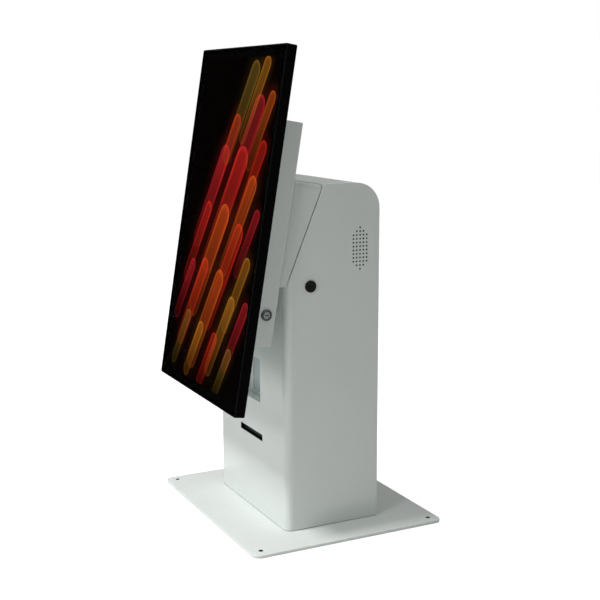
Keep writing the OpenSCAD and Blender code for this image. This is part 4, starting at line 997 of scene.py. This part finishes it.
floor_paper = bpy.data.materials.new("floor_paper")
tree = empty_tree(floor_paper)
lit = add_node(tree, "ShaderNodeAddShader", {
    0: add_node(tree, "ShaderNodeBsdfDiffuse", {"Color": (0.50, 0.50, 0.50, 1)}).outputs[0],
    1: add_node(tree, "ShaderNodeEmission", {"Color": (1, 1, 1, 1), "Strength": 0.95}).outputs[0]}).outputs[0]
bounce = add_node(tree, "ShaderNodeBsdfDiffuse", {"Color": (0.80, 0.80, 0.795, 1)}).outputs[0]
floor_mix = add_node(tree, "ShaderNodeMixShader", {0: seen_directly(tree), 1: bounce, 2: lit})
add_node(tree, "ShaderNodeOutputMaterial", {"Surface": floor_mix.outputs[0]})
data = bpy.data.meshes.new("floor")
data.from_pydata([(x * FLOOR_HALF, y * FLOOR_HALF, -FLOOR_DROP) for x, y in CORNERS], [], [(0, 1, 2, 3)])
data.materials.append(floor_paper)
new_piece("floor", data)

surround = bpy.data.worlds.new("surround")
tree = empty_tree(surround)
world_mix = add_node(tree, "ShaderNodeMixShader", {
    0: seen_directly(tree),
    1: add_node(tree, "ShaderNodeBackground", {"Color": (0.985, 1.0, 0.975, 1), "Strength": 0.12}).outputs[0],
    2: add_node(tree, "ShaderNodeBackground", {"Color": (1, 1, 1, 1), "Strength": 1.0}).outputs[0]})
add_node(tree, "ShaderNodeOutputWorld", {"Surface": world_mix.outputs[0]})
scene.world = surround


def softbox(name, location, aim, size, power, colour=(1, 1, 1)):
    lamp = bpy.data.lights.new(name, "AREA")
    lamp.color = colour
    lamp.shape = "SQUARE"
    lamp.size = size
    lamp.energy = power
    holder = bpy.data.objects.new(name, lamp)
    holder.visible_transmission = False
    holder.matrix_world = Matrix.Translation(location) @ (
        Vector(aim) - Vector(location)).to_track_quat("-Z", "Y").to_matrix().to_4x4()
    scene.collection.objects.link(holder)


softbox("front_softbox", (-0.05, -1.62, 2.22), (0.0, -0.05, 0.20), 0.42, 43.0, (1.0, 0.975, 0.998))
softbox("front_right_softbox", (1.12, -2.13, 1.27), (0.0, -0.05, 0.20), 0.5, 12.0)
softbox("overhead_softbox", (0.2, 0.1, 2.9), (0.0, 0.0, 0.3), 2.2, 13.5)

# Camera
# The photograph's view, fitted to the kiosk's edges: from the right front, a little above the top.
EYE = Vector((1.6668, -0.8256, 0.6996))
YAW, PITCH, ROLL = radians(63.446), radians(10.518), radians(-0.151)
SENSOR, PHOTO_WIDTH, FOCAL_PIXELS = 36.0, 600, 1123.755
ahead = Vector((-sin(YAW) * cos(PITCH), cos(YAW) * cos(PITCH), -sin(PITCH)))
right = Vector((cos(YAW), sin(YAW), 0))
up = right.cross(ahead)
right, up = cos(ROLL) * right + sin(ROLL) * up, -sin(ROLL) * right + cos(ROLL) * up
lens_data = bpy.data.cameras.new("photo_camera")
lens_data.sensor_width = SENSOR
lens_data.lens = SENSOR * FOCAL_PIXELS / PHOTO_WIDTH
lens_data.clip_start = 0.05
camera = bpy.data.objects.new("photo_camera", lens_data)
camera.matrix_world = Matrix.Translation(EYE) @ Matrix((right, up, -ahead)).transposed().to_4x4()
scene.collection.objects.link(camera)
scene.camera = camera
